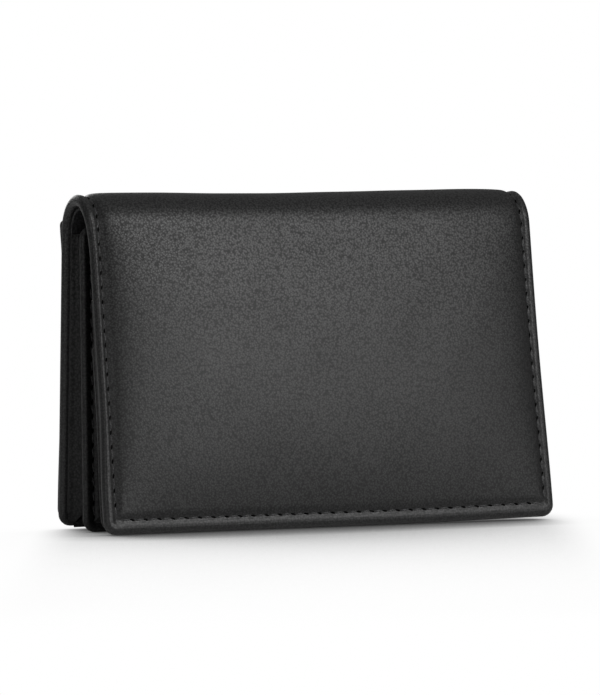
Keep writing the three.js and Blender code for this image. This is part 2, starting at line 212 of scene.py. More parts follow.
class WalletStage(bpy.types.PropertyGroup):
    azimuth: turn("Azimuth", "Camera's angle round the wallet", -23.88)
    elevation: turn("Elevation", "Camera's angle above the floor", 1.39)
    roll: turn("Roll", "Camera's lean to the side", 0.67)
    distance: length("Distance", "From the camera to the wallet", 1071.6)
    across: length("Across", "Camera's shift along the picture's width", -0.53)
    height: length("Height", "Camera's shift along the picture's height", 37.33)
    aim_depth: length("Aim depth", "From the box's middle to the point aimed at", 0.39)
    lens: FloatProperty(name="Lens", description="Focal length", default=304.4, unit="CAMERA")
    lamp_distance: length("Lamp distance", "From the lamps to the wallet", 800)
    key_azimuth: turn("Key azimuth", "Key light's angle round the wallet", 20)
    key_elevation: turn("Key elevation", "Key light's angle above the floor", 28.5)
    key_width: length("Key width", "Width of the key light", 300)
    key_height: length("Key height", "Height of the key light", 700)
    key_power: power("Key light", "Power of the large soft light", 3.35)
    side_azimuth: turn("Side azimuth", "Side light's angle round the wallet", -64)
    side_elevation: turn("Side elevation", "Side light's angle above the floor", 18)
    side_width: length("Side width", "Width of the side light", 300)
    side_height: length("Side height", "Height of the side light", 400)
    side_power: power("Side light", "Power of the side light", 0.5)
    rear_azimuth: turn("Rear azimuth", "Rear light's angle round the wallet", 180)
    rear_elevation: turn("Rear elevation", "Rear light's angle above the floor", 18)
    rear_width: length("Rear width", "Width of the rear light", 400)
    rear_height: length("Rear height", "Height of the rear light", 300)
    rear_power: power("Rear light", "Power of the light behind", 1.3)
    studio: FloatProperty(name="Studio light", description="Strength of the light all round", default=0.145)
    # Painted shadow on the floor: where it comes from, how far it reaches and how wide it is
    shade_azimuth: turn("Shade azimuth", "Direction round the wallet that the shade falls from", 156)
    shade_rise: turn("Shade rise", "Angle above the floor that the long shade falls from", 23)
    contact_rise: turn("Contact rise", "Angle above the floor that the contact shade falls from", 37)
    shadow_reach: length("Shadow reach", "How far in front the wallet shades the floor", 250)
    contact_reach: length("Contact reach", "How far the wallet's foot darkens the floor", 20)
    shade_half: length("Shade half width", "From the shade's middle to where it starts to fade", 46.5)
    shade_fade: length("Shade fade", "Width over which the shade fades beside the wallet", 12)
    shade_shift: length("Shade shift", "From the wallet's middle to the shade's middle", 1.5)


def sizes():
    return bpy.context.scene.wallet_sizes


def colours():
    return bpy.context.scene.wallet_colours


def hem_depth():
    """Depth of the cover with its turned hem, inwards from its outer face."""
    size = sizes()
    return size.cover_leather + size.board + 2 * size.layer_gap + size.hem_leather


def cover_depth():
    """Depth of the cover with its hem and its lining."""
    return hem_depth() + sizes().layer_gap + sizes().lining


def half_length(lean):
    """From the fold's axis down to the lower edge of a half that stands on the ground."""
    ground = FOLD_CENTRE[1] + (FOLD_RADIUS - hem_depth()) * math.sin(lean)
    return ground / math.cos(lean)


def ramp(value, start, end):
    """Smooth rise from none at the start to one at the end."""
    t = np.clip((value - start) / (end - start), 0, 1)
    return t * t * (3 - 2 * t)


def groove(distance, centre, width):
    """Round groove of depth one."""
    return np.exp(-(((distance - centre) / width) ** 2))


# Places: each turns a panel's own x, height or distance, and depth into points of the frame
CORNER_START = 0.3  # share of the half width past which a lower corner is worn
BORDER_START = 0.95  # share of the half width past which the left border is pinched
PINCH_STARTS = (-0.1, 0.1)  # shares of the flap's length over which the pinch comes
PINCH_ENDS = (0.9, 0.6)  # shares of the flap's length between which it goes again


def lower_corner(across, along, lean):
    """Nearness to a lower corner of the cover: none over most of a half, and one at the corner."""
    out = ramp(across / HALF_WIDTH, CORNER_START, 1)
    return out * ramp(along, HALF_ARC, HALF_ARC + half_length(lean)) ** 2


def worn(x, s):
    """Place on the cover as its soft corners have it: lifted, spread or drawn in a little."""
    size = sizes()
    back = lower_corner(-x, -s, BACK_LEAN)
    flap = lower_corner(x, s, FLAP_LEAN)
    along = (s - HALF_ARC) / half_length(FLAP_LEAN)
    border = ramp(-x / HALF_WIDTH, BORDER_START, 1)
    drawn_in = border * ramp(along, *PINCH_STARTS) * ramp(along, *PINCH_ENDS)
    return x + size.flare * flap + size.pinch * drawn_in, s + size.lift * back - size.flap_lift * flap


def beside_fold(x, angle, out, straight):
    """Point at an angle and a distance out from the fold's axis, moved straight on from there."""
    y = FOLD_CENTRE[0] + out * np.cos(angle) - straight * np.sin(angle)
    z = FOLD_CENTRE[1] + out * np.sin(angle) + straight * np.cos(angle)
    return np.stack(np.broadcast_arrays(x, y, z), axis=-1)


def fold_place(x, s, depth):
    """Point on the cover, at a distance s from the crown and a depth below the outer face."""
    x, s = worn(x, s)
    bent = np.clip(s, -HALF_ARC, HALF_ARC)
    return beside_fold(x, CROWN_ANGLE + bent / FOLD_RADIUS, FOLD_RADIUS - depth, s - bent)


def fold_distance(s):
    """Distance from the crown where a panel is already measured by it."""
    return s


def back_distance(height):
    """Distance from the crown of a point at a height above the fold's axis, on the back."""
    return height - HALF_ARC


def flap_distance(height):
    """Distance from the crown of a point at a height above the fold's axis, on the flap."""
    return HALF_ARC - height


HALVES = (("back", back_distance, BACK_LEAN), ("flap", flap_distance, FLAP_LEAN))


def outside(distance, top=0):
    """Place on a sheet that faces outwards, with its face at a depth below the outer face."""
    return lambda x, v, depth: fold_place(x, distance(v), top + depth)


def inside(distance, face):
    """Place on a sheet that faces inwards, with its face at a depth below the outer face."""
    return lambda x, v, depth: fold_place(x, distance(v), face - depth)


def back_plane(x, v, out):
    """Point beside the flat of the back, at a distance out from the fold's axis."""
    x, s = worn(x, back_distance(v))
    return beside_fold(x, BACK_LEAN, out, s + HALF_ARC)


# Reliefs: how far a face swells out of its panel
VALLEY_WIDTH = 0.75 * MM
PULL_WIDTH = 0.55 * MM  # of the deeper place at each needle hole
PULL_SHARE = 0.35  # of the valley's depth
DIMPLE_HEIGHT = 0.035 * MM
DIMPLE_LENGTHS = (6.1 * MM, 5.2 * MM)  # across and along, for a turn of one radian
DIMPLE_SHIFTS = (0.7, 1.9)
RIPPLE_HEIGHT = 0.015 * MM
RIPPLE_LENGTHS = (2.7 * MM, 3.9 * MM)
BACK_SWELL = 0.12  # share of the flap's swell that is left on the back
FLAP_SWELLS = (-0.4, 2.4)  # where the swell grows over the flap, in half arcs of the fold
FOLD_SWELLS = (-1, 0)  # where it grows over the fold
ROLL_SWELLS = (-1, 1.4)  # where the quick rise beside the seams grows
SAG_MIDDLE = -8 * MM  # where along the fold it sags most
SAG_WIDTH = 34 * MM
PRESSED_WIDTH = 0.2 * MM
LEFT_TURN = 0.3  # share of the hem's turn at the flap's left edge
LEFT_TURN_WIDTH = 6 * MM


def flat(x, v, edge):
    """No relief."""
    return np.zeros_like(x)


def sewn_edge(edge, along, seam):
    """Valley that a row of stitches pulls in, deeper at the needle holes."""
    size = sizes()
    beat = 0.5 + 0.5 * np.cos(math.tau * along / size.pitch)
    holes = PULL_SHARE * beat * groove(edge, seam, PULL_WIDTH)
    return -size.valley * (groove(edge, seam, VALLEY_WIDTH) + holes)


def leather_wave(x, s):
    """Slight unevenness of soft leather: slow dimples and quicker slanting ripples."""
    dimples = 1
    for at, long, shift in zip((x, s), DIMPLE_LENGTHS, DIMPLE_SHIFTS):
        dimples = dimples * np.sin(at / long + shift)
    ripples = np.sin(x / RIPPLE_LENGTHS[0] + s / RIPPLE_LENGTHS[1])
    return DIMPLE_HEIGHT * dimples + RIPPLE_HEIGHT * ripples


def swell_share(s, growth):
    """Share of the flap's swell: little on the back, and all of it on the flap."""
    return BACK_SWELL + (1 - BACK_SWELL) * ramp(s / HALF_ARC, *growth)


def rising(distance, width):
    """Round rise from a seam."""
    return 1 - np.exp(-distance / width)


def swell(x, s):
    """Padded swell of the flap, which runs out over the fold."""
    size = sizes()
    flap = half_length(FLAP_LEAN)
    side = np.maximum(HALF_WIDTH - np.abs(x) - size.seam, 0)
    foot = np.maximum(HALF_ARC + flap - s - size.hem_seam, 0)
    along = np.clip((s - HALF_ARC) / flap, 0, 1)
    crown = size.crown * swell_share(s, FLAP_SWELLS) * swell_share(s, FOLD_SWELLS)
    sunk = size.sag * groove(s, 0, HALF_ARC / 2) * groove(x, SAG_MIDDLE, SAG_WIDTH)
    rolled = size.roll * rising(side, size.roll_width) * ramp(s / HALF_ARC, *ROLL_SWELLS)
    domed = size.dome * (1 - (x / HALF_WIDTH) ** 2) * 4 * along * (1 - along)
    return ((crown - sunk) * rising(side, size.shoulder) + rolled) * rising(foot, size.foot_shoulder) + domed


def turned_border(x, s, edge):
    """How far the border of the flap curves back towards its edge, least at the left."""
    size = sizes()
    share = LEFT_TURN + (1 - LEFT_TURN) * ramp(x + HALF_WIDTH, 0, LEFT_TURN_WIDTH)
    return share * size.hem_turn * np.clip(1 - edge / size.seam, 0, 1) ** 1.5 * ramp(s, 0, HALF_ARC)


def cover_relief(x, s, edge):
    """Face of the cover: swell, seam valley, pressed line, turned border and slight waves."""
    size = sizes()
    side = HALF_WIDTH - np.abs(x)
    foot = HALF_ARC + half_length(FLAP_LEAN) - s
    along = np.where(side < foot, s, x)
    pressed = size.crease * groove(edge, size.crease_inset, PRESSED_WIDTH)
    calm = ramp(edge, size.edge_roll, size.edge_roll + size.seam)
    sewn = sewn_edge(edge, along, size.seam) - pressed - turned_border(x, s, edge)
    return swell(x, s) + sewn + calm * leather_wave(x, s)


def padded_cover(distance):
    """Face of the cover on a panel that is measured by another distance."""
    return lambda x, v, edge: cover_relief(x, distance(v), edge)


def under_cover(distance):
    """Rear of the cover's leather, which follows its face inside the turned hem and at its edge."""
    def relief(x, v, edge):
        hem = -turned_border(x, distance(v), edge)
        return np.where(edge > sizes().hem_width, padded_cover(distance)(x, v, edge), hem)
    return relief


def sewn_sides(outline, seam, x, v, along):
    """Seam valley at the sides and the foot of a pocket, and the distances from both."""
    side = outline.half - np.abs(x)
    foot = (v - outline.low) / outline.hem
    return sewn_edge(np.minimum(side, foot), np.where(side < foot, along, x), seam), side, foot


# Panels: a sheet with a round rim, built from rings along its edge and a grid over its middle
Outline = namedtuple("Outline", "half low high corner mouth hem", defaults=(None, 1.0))
GRID_STEP = 0.75 * MM  # spacing of the points on a panel
SEAM_STEP = 0.04 * MM  # first row beside the end of a panel at a fold seam
RING_STEP = 0.2 * MM  # spacing of the fine rings beside a rim
RING_START = 0.15 * MM  # from the rim to the first of them
WIDE_RINGS = np.array([0, 0.4, 1, 1.8, 2.8, 4.2]) * MM  # further rings, from the fine ones to the grid
HOLLOW_STEP = 0.25 * MM  # width of the step into a hollow rear
HOLLOW_REACH = MM  # from that step to the grid
COVER_DETAIL = 5.4 * MM  # how far from the edge the fine rings reach
POCKET_DETAIL = 4.4 * MM
SLOT_DETAIL = 3.4 * MM
PLAIN_DETAIL = 2.6 * MM
PLAIN_BORDER = 3 * MM  # border of a plain sheet's rear
POCKET_MOUTH = MM  # radius of the upper corners of a sewn-on pocket
EDGE_WEAR = 0.7 * MM  # how far an edge is rubbed
ARC_STEPS = 6
RIM_STEPS = 5


def sewn_on(inset, lean, high):
    """Outline of a pocket that is sewn on a half of the cover, inside its edges."""
    size = sizes()
    hem = (size.hem_seam - inset) / (size.seam - inset)
    low = inset - half_length(lean)
    return Outline(HALF_WIDTH - inset, low, high, size.corner, mouth=POCKET_MOUTH, hem=hem)


def rim(thickness, roll):
    """Insets and depths from the middle of a sheet's edge up to its face."""
    angles = np.linspace(0, math.pi / 2, RIM_STEPS + 1)
    return [(roll * (1 - math.cos(a)), thickness / 2 * (1 - math.sin(a))) for a in angles]


def far_rim(thickness, roll):
    """Insets and depths from the middle of a sheet's edge down to its rear."""
    return [(inset, thickness - depth) for inset, depth in rim(thickness, roll)]


def face_profile(thickness, roll, detail):
    """Insets and depths over a face: its rim, fine rings as far as detail, then wider ones."""
    fine = np.arange(roll + RING_START, detail, RING_STEP)
    return rim(thickness, roll) + [(inset, 0) for inset in (*fine, *(detail + WIDE_RINGS))]


def rear_profile(thickness, roll, border, hollow, reach=HOLLOW_REACH):
    """Insets and depths over a sheet's rear: its rim, its full border, then its hollow."""
    inner = thickness - hollow
    steps = [(border, thickness), (border + HOLLOW_STEP, inner), (border + reach, inner)]
    return far_rim(thickness, roll) + steps


def plain_sides(thickness, roll):
    """Face and rear of a sheet without a hollow."""
    return face_profile(thickness, roll, PLAIN_DETAIL), rear_profile(thickness, roll, PLAIN_BORDER, 0)


def ring(outline, inset, rows, columns):
    """Outline moved inwards: down the left side, along the bottom, up the right side and along a mouth."""
    half = outline.half - inset
    low = outline.low + inset * outline.hem
    corner = max(outline.corner - inset, 0)
    has_mouth = outline.mouth is not None
    mouth = max(outline.mouth - inset, 0) if has_mouth else 0
    high = outline.high - inset if has_mouth else outline.high
    side = high - mouth + (low + corner - high + mouth) * rows
    foot = (half - corner) * columns
    top = (half - mouth) * columns[::-1]
    bend = np.linspace(0, math.pi / 2, ARC_STEPS + 1)
    leave, meet = 1 - np.cos(bend), 1 - np.sin(bend)
    runs = [
        (np.full_like(side, -half), side),
        (-half + corner * leave, low + corner * meet),
        (foot, np.full_like(foot, low)),
        (half - corner * meet, low + corner * leave),
        (np.full_like(side, half), side[::-1]),
    ]
    if has_mouth:
        runs += [
            (half - mouth * leave, high - mouth * meet),
            (top, np.full_like(top, high)),
            (-half + mouth * meet, high - mouth * leave),
        ]
    x, v = (np.concatenate(part) for part in zip(*runs))
    return x, v, side, foot


def cells(rows, columns, first=0):
    """Faces of a grid of points that are numbered row by row."""
    corners = np.arange(first, first + rows * columns).reshape(rows, columns)
    quads = np.stack([corners[:-1, :-1], corners[:-1, 1:], corners[1:, 1:], corners[1:, :-1]], axis=-1)
    return quads.reshape(-1, 4)


def panel_side(outline, profile, rows, columns):
    """One side of a panel: x, height, edge distance, depth and faces."""
    rings = [ring(outline, inset, rows, columns) for inset, _ in profile]
    count = len(rings[0][0])
    side, foot = rings[-1][2:]
    grid_x, grid_v = np.meshgrid(foot, side)
    edge = np.minimum(outline.half - np.abs(grid_x), (grid_v - outline.low) / outline.hem)
    if outline.mouth is not None:
        edge = np.minimum(edge, outline.high - grid_v)
    x = np.concatenate([*(r[0] for r in rings), grid_x.ravel()])
    v = np.concatenate([*(r[1] for r in rings), grid_v.ravel()])
    insets, sunk = np.array(profile).T
    edge = np.concatenate([np.repeat(insets, count), edge.ravel()])
    depth = np.concatenate([np.repeat(sunk, count), np.full(grid_x.size, sunk[-1])])
    ring_cells = cells(len(profile), count)
    grid_cells = cells(len(side), len(foot), first=len(profile) * count)
    return x, v, edge, depth, np.concatenate([ring_cells, grid_cells])


def strip_side(half, ends, profile):
    """One side of a strip that runs from edge to edge between two seams."""
    insets, sunk = np.array(profile).T
    middle = np.linspace(-half, half, int(2 * half / GRID_STEP))
    middle = middle[np.abs(middle) < half - insets[-1]]
    across = np.concatenate([insets - half, middle, (half - insets)[::-1]])
    down = np.concatenate([sunk, np.full_like(middle, sunk[-1]), sunk[::-1]])
    low, high = ends
    along = np.linspace(low, high, max(int((high - low) / (GRID_STEP / 2)), 2))
    along = np.sort(np.concatenate([along, [low + SEAM_STEP, high - SEAM_STEP]]))
    x, v = np.meshgrid(across, along)
    depth = np.tile(down, (len(along), 1))
    faces = cells(len(along), len(across))
    return x.ravel(), v.ravel(), (half - np.abs(x)).ravel(), depth.ravel(), faces


def show(name, mesh):
    """Object of a finished mesh, at the origin."""
    obj = bpy.data.objects.new(name, mesh)
    bpy.context.scene.collection.objects.link(obj)
    return obj


def closed(name, points, faces, wear):
    """Object of a welded mesh with its ends filled and its faces outwards, and how rubbed each point is."""
    mesh = bpy.data.meshes.new(name)
    mesh.from_pydata(points.tolist(), [], faces.tolist())
    mesh.attributes.new("edge_wear", "FLOAT", "POINT").data.foreach_set("value", wear)
    work = bmesh.new()
    work.from_mesh(mesh)
    bmesh.ops.remove_doubles(work, verts=work.verts, dist=WELD)
    ends = bmesh.ops.holes_fill(work, edges=[e for e in work.edges if e.is_boundary], sides=0)
    bmesh.ops.triangulate(work, faces=ends["faces"])
    bmesh.ops.recalc_face_normals(work, faces=work.faces)
    work.to_mesh(mesh)
    work.free()
    mesh.shade_smooth()
    mesh.set_sharp_from_angle(angle=SMOOTH_ANGLE)
    return show(name, mesh)


def solid(name, sides, place, lifts):
    """Closed sheet from its face and its rear, rubbed towards its edge."""
    points, wear, faces, count = [], [], [], 0
    for (x, v, edge, depth, side_faces), lift in zip(sides, lifts):
        points.append(place(x, v, depth - lift(x, v, edge)))
        wear.append(np.exp(-edge / EDGE_WEAR))
        faces.append(side_faces + count)
        count += len(x)
    return closed(name, *map(np.concatenate, (points, faces, wear)))


def panel(name, outline, profiles, place, lift=flat, rear_lift=flat):
    """Sheet with round lower corners. Without a mouth, its upper end is a plain cut at a fold seam."""
    height = outline.high - outline.low
    rows = np.linspace(0, 1, int(height / GRID_STEP))
    if outline.mouth is None:
        rows = np.sort(np.append(rows, SEAM_STEP / height))
    columns = np.linspace(-1, 1, int(2 * outline.half / GRID_STEP))
    sides = [panel_side(outline, profile, rows, columns) for profile in profiles]
    return solid(name, sides, place, (lift, rear_lift))


def strip(name, half, ends, profiles, place, lift=flat, rear_lift=flat):
    """Sheet across the fold, from one seam to the other."""
    sides = [strip_side(half, ends, profile) for profile in profiles]
    return solid(name, sides, place, (lift, rear_lift))


def bend_with_fold(obj, part):
    """Bakes a piece's place into its mesh; the ends of its stretch of the fold are worked out but not used.
    """
    first, second, start, end = FOLD_PARTS[part]
    inner = cover_depth()
    fold_place(0, start, inner)
    fold_place(0, end, inner)
    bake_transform(obj)


def dress(obj, material, slot, *nodes):
    """Gives a piece its material, and hides the CAD nodes that it stands for."""
    obj.data.materials.clear()
    obj.data.materials.append(material)
    if nodes:
        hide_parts(*nodes)


# Materials
WHITE = (1, 1, 1, 1)
WAVE_TURN = 20  # turn of a straight wave texture over one unit, in radians
SLANTED_WAVE_TURN = 10  # the same of a diagonal one


def paler(colour, share):
    """Linear colour moved towards white by a share, as the eye sees it."""
    shown = Color(colour[:3]).from_scene_linear_to_srgb()
    return (*Color([c + (1 - c) * share for c in shown]).from_srgb_to_scene_linear(), 1)


def per_metre(millimetres):
    """Scale of a pattern whose parts are so many millimetres wide, on coordinates in metres."""
    return 1 / (millimetres * MM)


def feed(tree, node, inputs):
    """Sets a node's inputs to values, or links them to sockets or to the first output of other nodes."""
    for key, value in inputs.items():
        if isinstance(value, bpy.types.Node):
            value = value.outputs[0]
        if isinstance(value, bpy.types.NodeSocket):
            tree.links.new(value, node.inputs[key])
        else:
            node.inputs[key].default_value = value


def add(tree, kind, inputs=None, **settings):
    """Adds a node with its settings and its inputs."""
    node = tree.nodes.new(kind)
    for key, value in settings.items():
        setattr(node, key, value)
    feed(tree, node, inputs or {})
    return node


def surface(name):
    """New material with its node tree, empty principled shader and coordinates."""
    material = bpy.data.materials.new(name)
    material.use_nodes = True
    tree = material.node_tree
    tree.nodes.clear()
    shader = add(tree, "ShaderNodeBsdfPrincipled")
    add(tree, "ShaderNodeOutputMaterial", {"Surface": shader})
    return material, tree, shader, add(tree, "ShaderNodeTexCoord").outputs["Object"]


def finish(tree, shader, colour, share, tones, values, relief=None, invert=False):
    """Sets a finish: its colour, paler by a share where its tones are high, its values and its relief."""
    shades = {"Factor": tones, "A": colour, "B": paler(colour, share)}
    dyed = add(tree, "ShaderNodeMix", shades, data_type="RGBA").outputs["Result"]
    feed(tree, shader, {"Base Color": dyed, **values})
    if relief:
        feed(tree, shader, {"Normal": add(tree, "ShaderNodeBump", relief, invert=invert)})


GRAIN_HEIGHT = 0.05 * MM
CLOUD_WIDTH = 14  # of the slow changes of tone in a hide, in millimetres
PORE_SHARE = 0.5  # weight of the pores in the grain
MIDDLE_SHINE = 0.5  # specular level between creases and grains
RUBBED_PALER = 0.06  # share towards white where leather is rubbed


def leather(name, colour, grain, roughness, depth):
    """Drum-dyed leather: fine grain with dull creases, paler and shinier where edges are rubbed.

    The grain is drawn at about twice its real width, so that it shows, and is stronger towards the fold.
    """
    material, tree, shader, at = surface(name)
    cell = add(tree, "ShaderNodeTexVoronoi", {"Vector": at, "Scale": per_metre(grain)})
    pores = add(tree, "ShaderNodeTexNoise", {"Vector": at, "Scale": per_metre(grain / 3), "Detail": 1})
    clouds = add(tree, "ShaderNodeTexNoise", {"Vector": at, "Scale": per_metre(CLOUD_WIDTH), "Detail": 4})
    rubbing = add(tree, "ShaderNodeAttribute", attribute_name="edge_wear").outputs["Fac"]
    height = add(tree, "ShaderNodeSeparateXYZ", {0: at}).outputs["Z"]
    crease = add(tree, "ShaderNodeMath", {0: pores, 1: PORE_SHARE, 2: cell}, operation="MULTIPLY_ADD")
    opening = {"Value": height, "From Min": 35 * MM, "From Max": 58 * MM, "To Min": 0.18, "To Max": 0.28}
    opened = add(tree, "ShaderNodeMapRange", opening)
    bright = add(tree, "ShaderNodeMath", {0: MIDDLE_SHINE, 1: opened}, operation="ADD")
    dull = add(tree, "ShaderNodeMath", {0: MIDDLE_SHINE, 1: opened}, operation="SUBTRACT")
    shine = {"Value": crease, "From Min": 0.38, "From Max": 0.98, "To Min": bright, "To Max": dull}
    patch = add(tree, "ShaderNodeMath", {0: clouds, 1: 0.5}, operation="MULTIPLY")
    rubbed = add(tree, "ShaderNodeMath", {0: rubbing, 1: 0.35, 2: patch}, operation="MULTIPLY_ADD")
    polish = {"Value": rubbed, "From Max": 0.8, "To Min": roughness + 0.05, "To Max": roughness - 0.07}
    values = {
        "Specular IOR Level": add(tree, "ShaderNodeMapRange", shine),
        "Roughness": add(tree, "ShaderNodeMapRange", polish),
    }
    relief = {"Height": crease, "Strength": depth, "Distance": GRAIN_HEIGHT}
    finish(tree, shader, colour, RUBBED_PALER, rubbed, values, relief, invert=True)
    return material


@cache
def nappa():
    """Smooth nappa of the cover: fine grain under a thin finish with a soft sheen."""
    return leather("smooth_black_nappa", colours().nappa, grain=0.42, roughness=0.42, depth=0.3)


@cache
def pocket_leather():
    """Leather of the pockets: the same hide, a little duller, its colour set darker than the cover's as
    painted shade of the recesses.
    """
    return leather("pocket_black_leather", colours().pocket, grain=0.5, roughness=0.5, depth=0.5)


@cache
def gusset_leather():
    """Thin split leather of the gusset: soft and nearly matt, its black set darker than the cover's, partly
    painted shade of the recess where it hangs.
    """
    return leather("thin_black_gusset_leather", colours().gusset, grain=0.5, roughness=0.6, depth=0.5)


@cache
def lining_leather():
    """Pared leather lining: matt, with an even grain."""
    return leather("pared_black_lining_leather", colours().lining, grain=0.5, roughness=0.62, depth=0.5)


@cache
def woven_cloth():
    """Plain-woven polyester lining: a matt crossing of fine threads, drawn at twice their real width."""
    material, tree, shader, at = surface("woven_black_lining")
    threads = {"Vector": at, "Scale": per_metre(0.5 * WAVE_TURN / math.tau), "Distortion": 0.3}
    across = add(tree, "ShaderNodeTexWave", threads, bands_direction="X").outputs["Fac"]
    along = add(tree, "ShaderNodeTexWave", threads, bands_direction="Z").outputs["Fac"]
    weave = add(tree, "ShaderNodeMath", {0: across, 1: along}, operation="MULTIPLY")
    relief = {"Height": weave, "Strength": 0.5, "Distance": 0.1 * MM}
    finish(tree, shader, colours().cloth, 0.1, weave, {"Roughness": 0.85, "Sheen Weight": 0.15}, relief)
    return material


@cache
def twisted_thread():
    """Bonded polyester thread: slanted plies with a slight shine, drawn at three times their real width."""
    material, tree, shader, at = surface("black_polyester_thread")
    twist = {"Vector": at, "Scale": per_metre(0.6 * SLANTED_WAVE_TURN / math.tau)}
    plies = add(tree, "ShaderNodeTexWave", twist, bands_direction="DIAGONAL").outputs["Fac"]
    relief = {"Height": plies, "Strength": 0.4, "Distance": 0.05 * MM}
    finish(tree, shader, colours().thread, 0.12, plies, {"Roughness": 0.45}, relief)
    return material


@cache
def painted_hole_shade():
    """Painted shade inside a needle hole: near-black raw leather with loose fibres, standing in for the shade
    in the hole.
    """
    material, tree, shader, at = surface("needle_hole_shade")
    fibres = add(tree, "ShaderNodeTexNoise", {"Vector": at, "Scale": per_metre(0.15)})
    finish(tree, shader, colours().hole, 0.03, fibres, {"Roughness": 1, "Specular IOR Level": 0})
    return material


def fibre_board():
    """Pressed fibre board: flecked brown, matt."""
    material, tree, shader, at = surface("pressed_fibre_board")
    fibres = {"Vector": at, "Scale": per_metre(0.8), "Detail": 6, "Roughness": 0.7}
    flecks = add(tree, "ShaderNodeTexNoise", fibres)
    relief = {"Height": flecks, "Strength": 0.3, "Distance": 0.05 * MM}
    finish(tree, shader, colours().board, 0.3, flecks, {"Roughness": 0.9}, relief)
    return material


def padding_foam():
    """Open-cell foam: small round cells, matt."""
    material, tree, shader, at = surface("open_cell_foam")
    pits = add(tree, "ShaderNodeTexVoronoi", {"Vector": at, "Scale": per_metre(0.6)})
    relief = {"Height": pits, "Strength": 0.6, "Distance": 0.2 * MM}
    finish(tree, shader, colours().foam, 0.3, pits, {"Roughness": 0.95}, relief)
    return material


# Stitching: threads, and dark pods of painted shade for the needle holes, set along the seams by Geometry
# Nodes
THREAD_OFFSET = 0.5  # in pitches, since a stitch lies half-way between two needle holes
THREAD_SINK = 0.06 * MM  # from the leather down to a stitch's middle
HOLE_SINK = 0.03 * MM
STITCH_END = 0.6 * MM  # room at the end of a seam
MOUTH_END = 1.2 * MM  # room below the slip pocket's mouth
SLOT_END = 0.8 * MM  # room on each side of a card slot's mouth
LINING_END = 1.5 * MM  # room below the fold, on the lining
UP = (0, 1)
ALONG = (1, 0)
Marks = namedtuple("Marks", "at along out")


@cache
def seam_tree():
    """Tree that lays one small pod on each point of a seam, slanted a little and never quite alike."""
    tree = bpy.data.node_groups.new("Seam marks", "GeometryNodeTree")
    tree.interface.new_socket("Geometry", in_out="INPUT", socket_type="NodeSocketGeometry")
    for socket in ("Length", "Width", "Height", "Slant", "Uneven"):
        tree.interface.new_socket(socket, in_out="INPUT", socket_type="NodeSocketFloat")
    tree.interface.new_socket("Material", in_out="INPUT", socket_type="NodeSocketMaterial")
    tree.interface.new_socket("Geometry", in_out="OUTPUT", socket_type="NodeSocketGeometry")
    given = add(tree, "NodeGroupInput").outputs
    lengths = {"X": given["Length"], "Y": given["Width"], "Z": given["Height"]}
    size = add(tree, "ShaderNodeCombineXYZ", lengths)
    pod = add(tree, "GeometryNodeMeshUVSphere", {"Segments": 10, "Rings": 6, "Radius": 0.5})
    shaped = add(tree, "GeometryNodeTransform", {"Geometry": pod, "Scale": size})
    along, out = (
        add(tree, "GeometryNodeInputNamedAttribute", {"Name": name}, data_type="FLOAT_VECTOR")
        for name in ("along", "out")
    )
    laid = add(tree, "FunctionNodeAlignRotationToVector", {"Vector": along.outputs["Attribute"]}, axis="X")
    facing = {"Rotation": laid, "Vector": out.outputs["Attribute"]}
    upright = add(tree, "FunctionNodeAlignRotationToVector", facing, axis="Z", pivot_axis="X")
    spare = add(tree, "ShaderNodeMath", {0: given["Uneven"], 1: -1.0}, operation="MULTIPLY")
    limits = {"Min": spare, "Max": given["Uneven"], "Seed": 4}
    chance = add(tree, "FunctionNodeRandomValue", limits, data_type="FLOAT").outputs["Value"]
    angle = add(tree, "ShaderNodeMath", {0: given["Slant"], 1: chance}, operation="ADD")
    slant = add(tree, "FunctionNodeAxisAngleToRotation", {"Axis": (0, 0, 1), "Angle": angle})
    slanting = {"Rotation": upright, "Rotate By": slant}
    turned = add(tree, "FunctionNodeRotateRotation", slanting, rotation_space="LOCAL")
    pods = {"Points": given["Geometry"], "Instance": shaped, "Rotation": turned}
    set_down = add(tree, "GeometryNodeInstanceOnPoints", pods)
    whole = add(tree, "GeometryNodeRealizeInstances", {"Geometry": set_down})
    coated = add(tree, "GeometryNodeSetMaterial", {"Geometry": whole, "Material": given["Material"]})
    add(tree, "NodeGroupOutput", {"Geometry": coated})
    return tree


def marks(place, lift, edge, x, v, heading, sink):
    """Points of a seam on a panel's face, with the seam's direction and the face's."""
    x, v, edge = (np.asarray(a, float) for a in np.broadcast_arrays(x, v, edge))
    depth = -lift(x, v, edge)
    dx, dv = heading
    ahead = place(x + dx * LOOK_STEP, v + dv * LOOK_STEP, depth)
    astern = place(x - dx * LOOK_STEP, v - dv * LOOK_STEP, depth)
    above = place(x, v, depth - LOOK_STEP)
    below = place(x, v, depth + LOOK_STEP)
    return Marks(place(x, v, depth + sink), ahead - astern, above - below)


def beats(low, high, offset):
    """Places along a seam, at the pitch of its stitches, counted from zero."""
    pitch = sizes().pitch
    first = math.ceil(low / pitch - offset)
    last = math.floor(high / pitch - offset)
    return (np.arange(first, last + 1) + offset) * pitch


def both_sides(half, low, high, height=fold_distance):
    """Rows up the left and the right side of a seam. Its stitches are counted between two distances."""
    def rows(offset):
        v = height(beats(low, high, offset))
        return [(side * half, v, UP) for side in (-1, 1)]
    return rows


def one_end(half, v):
    """Row along one end of a seam."""
    return lambda offset: [(beats(STITCH_END - half, half - STITCH_END, offset), v, ALONG)]


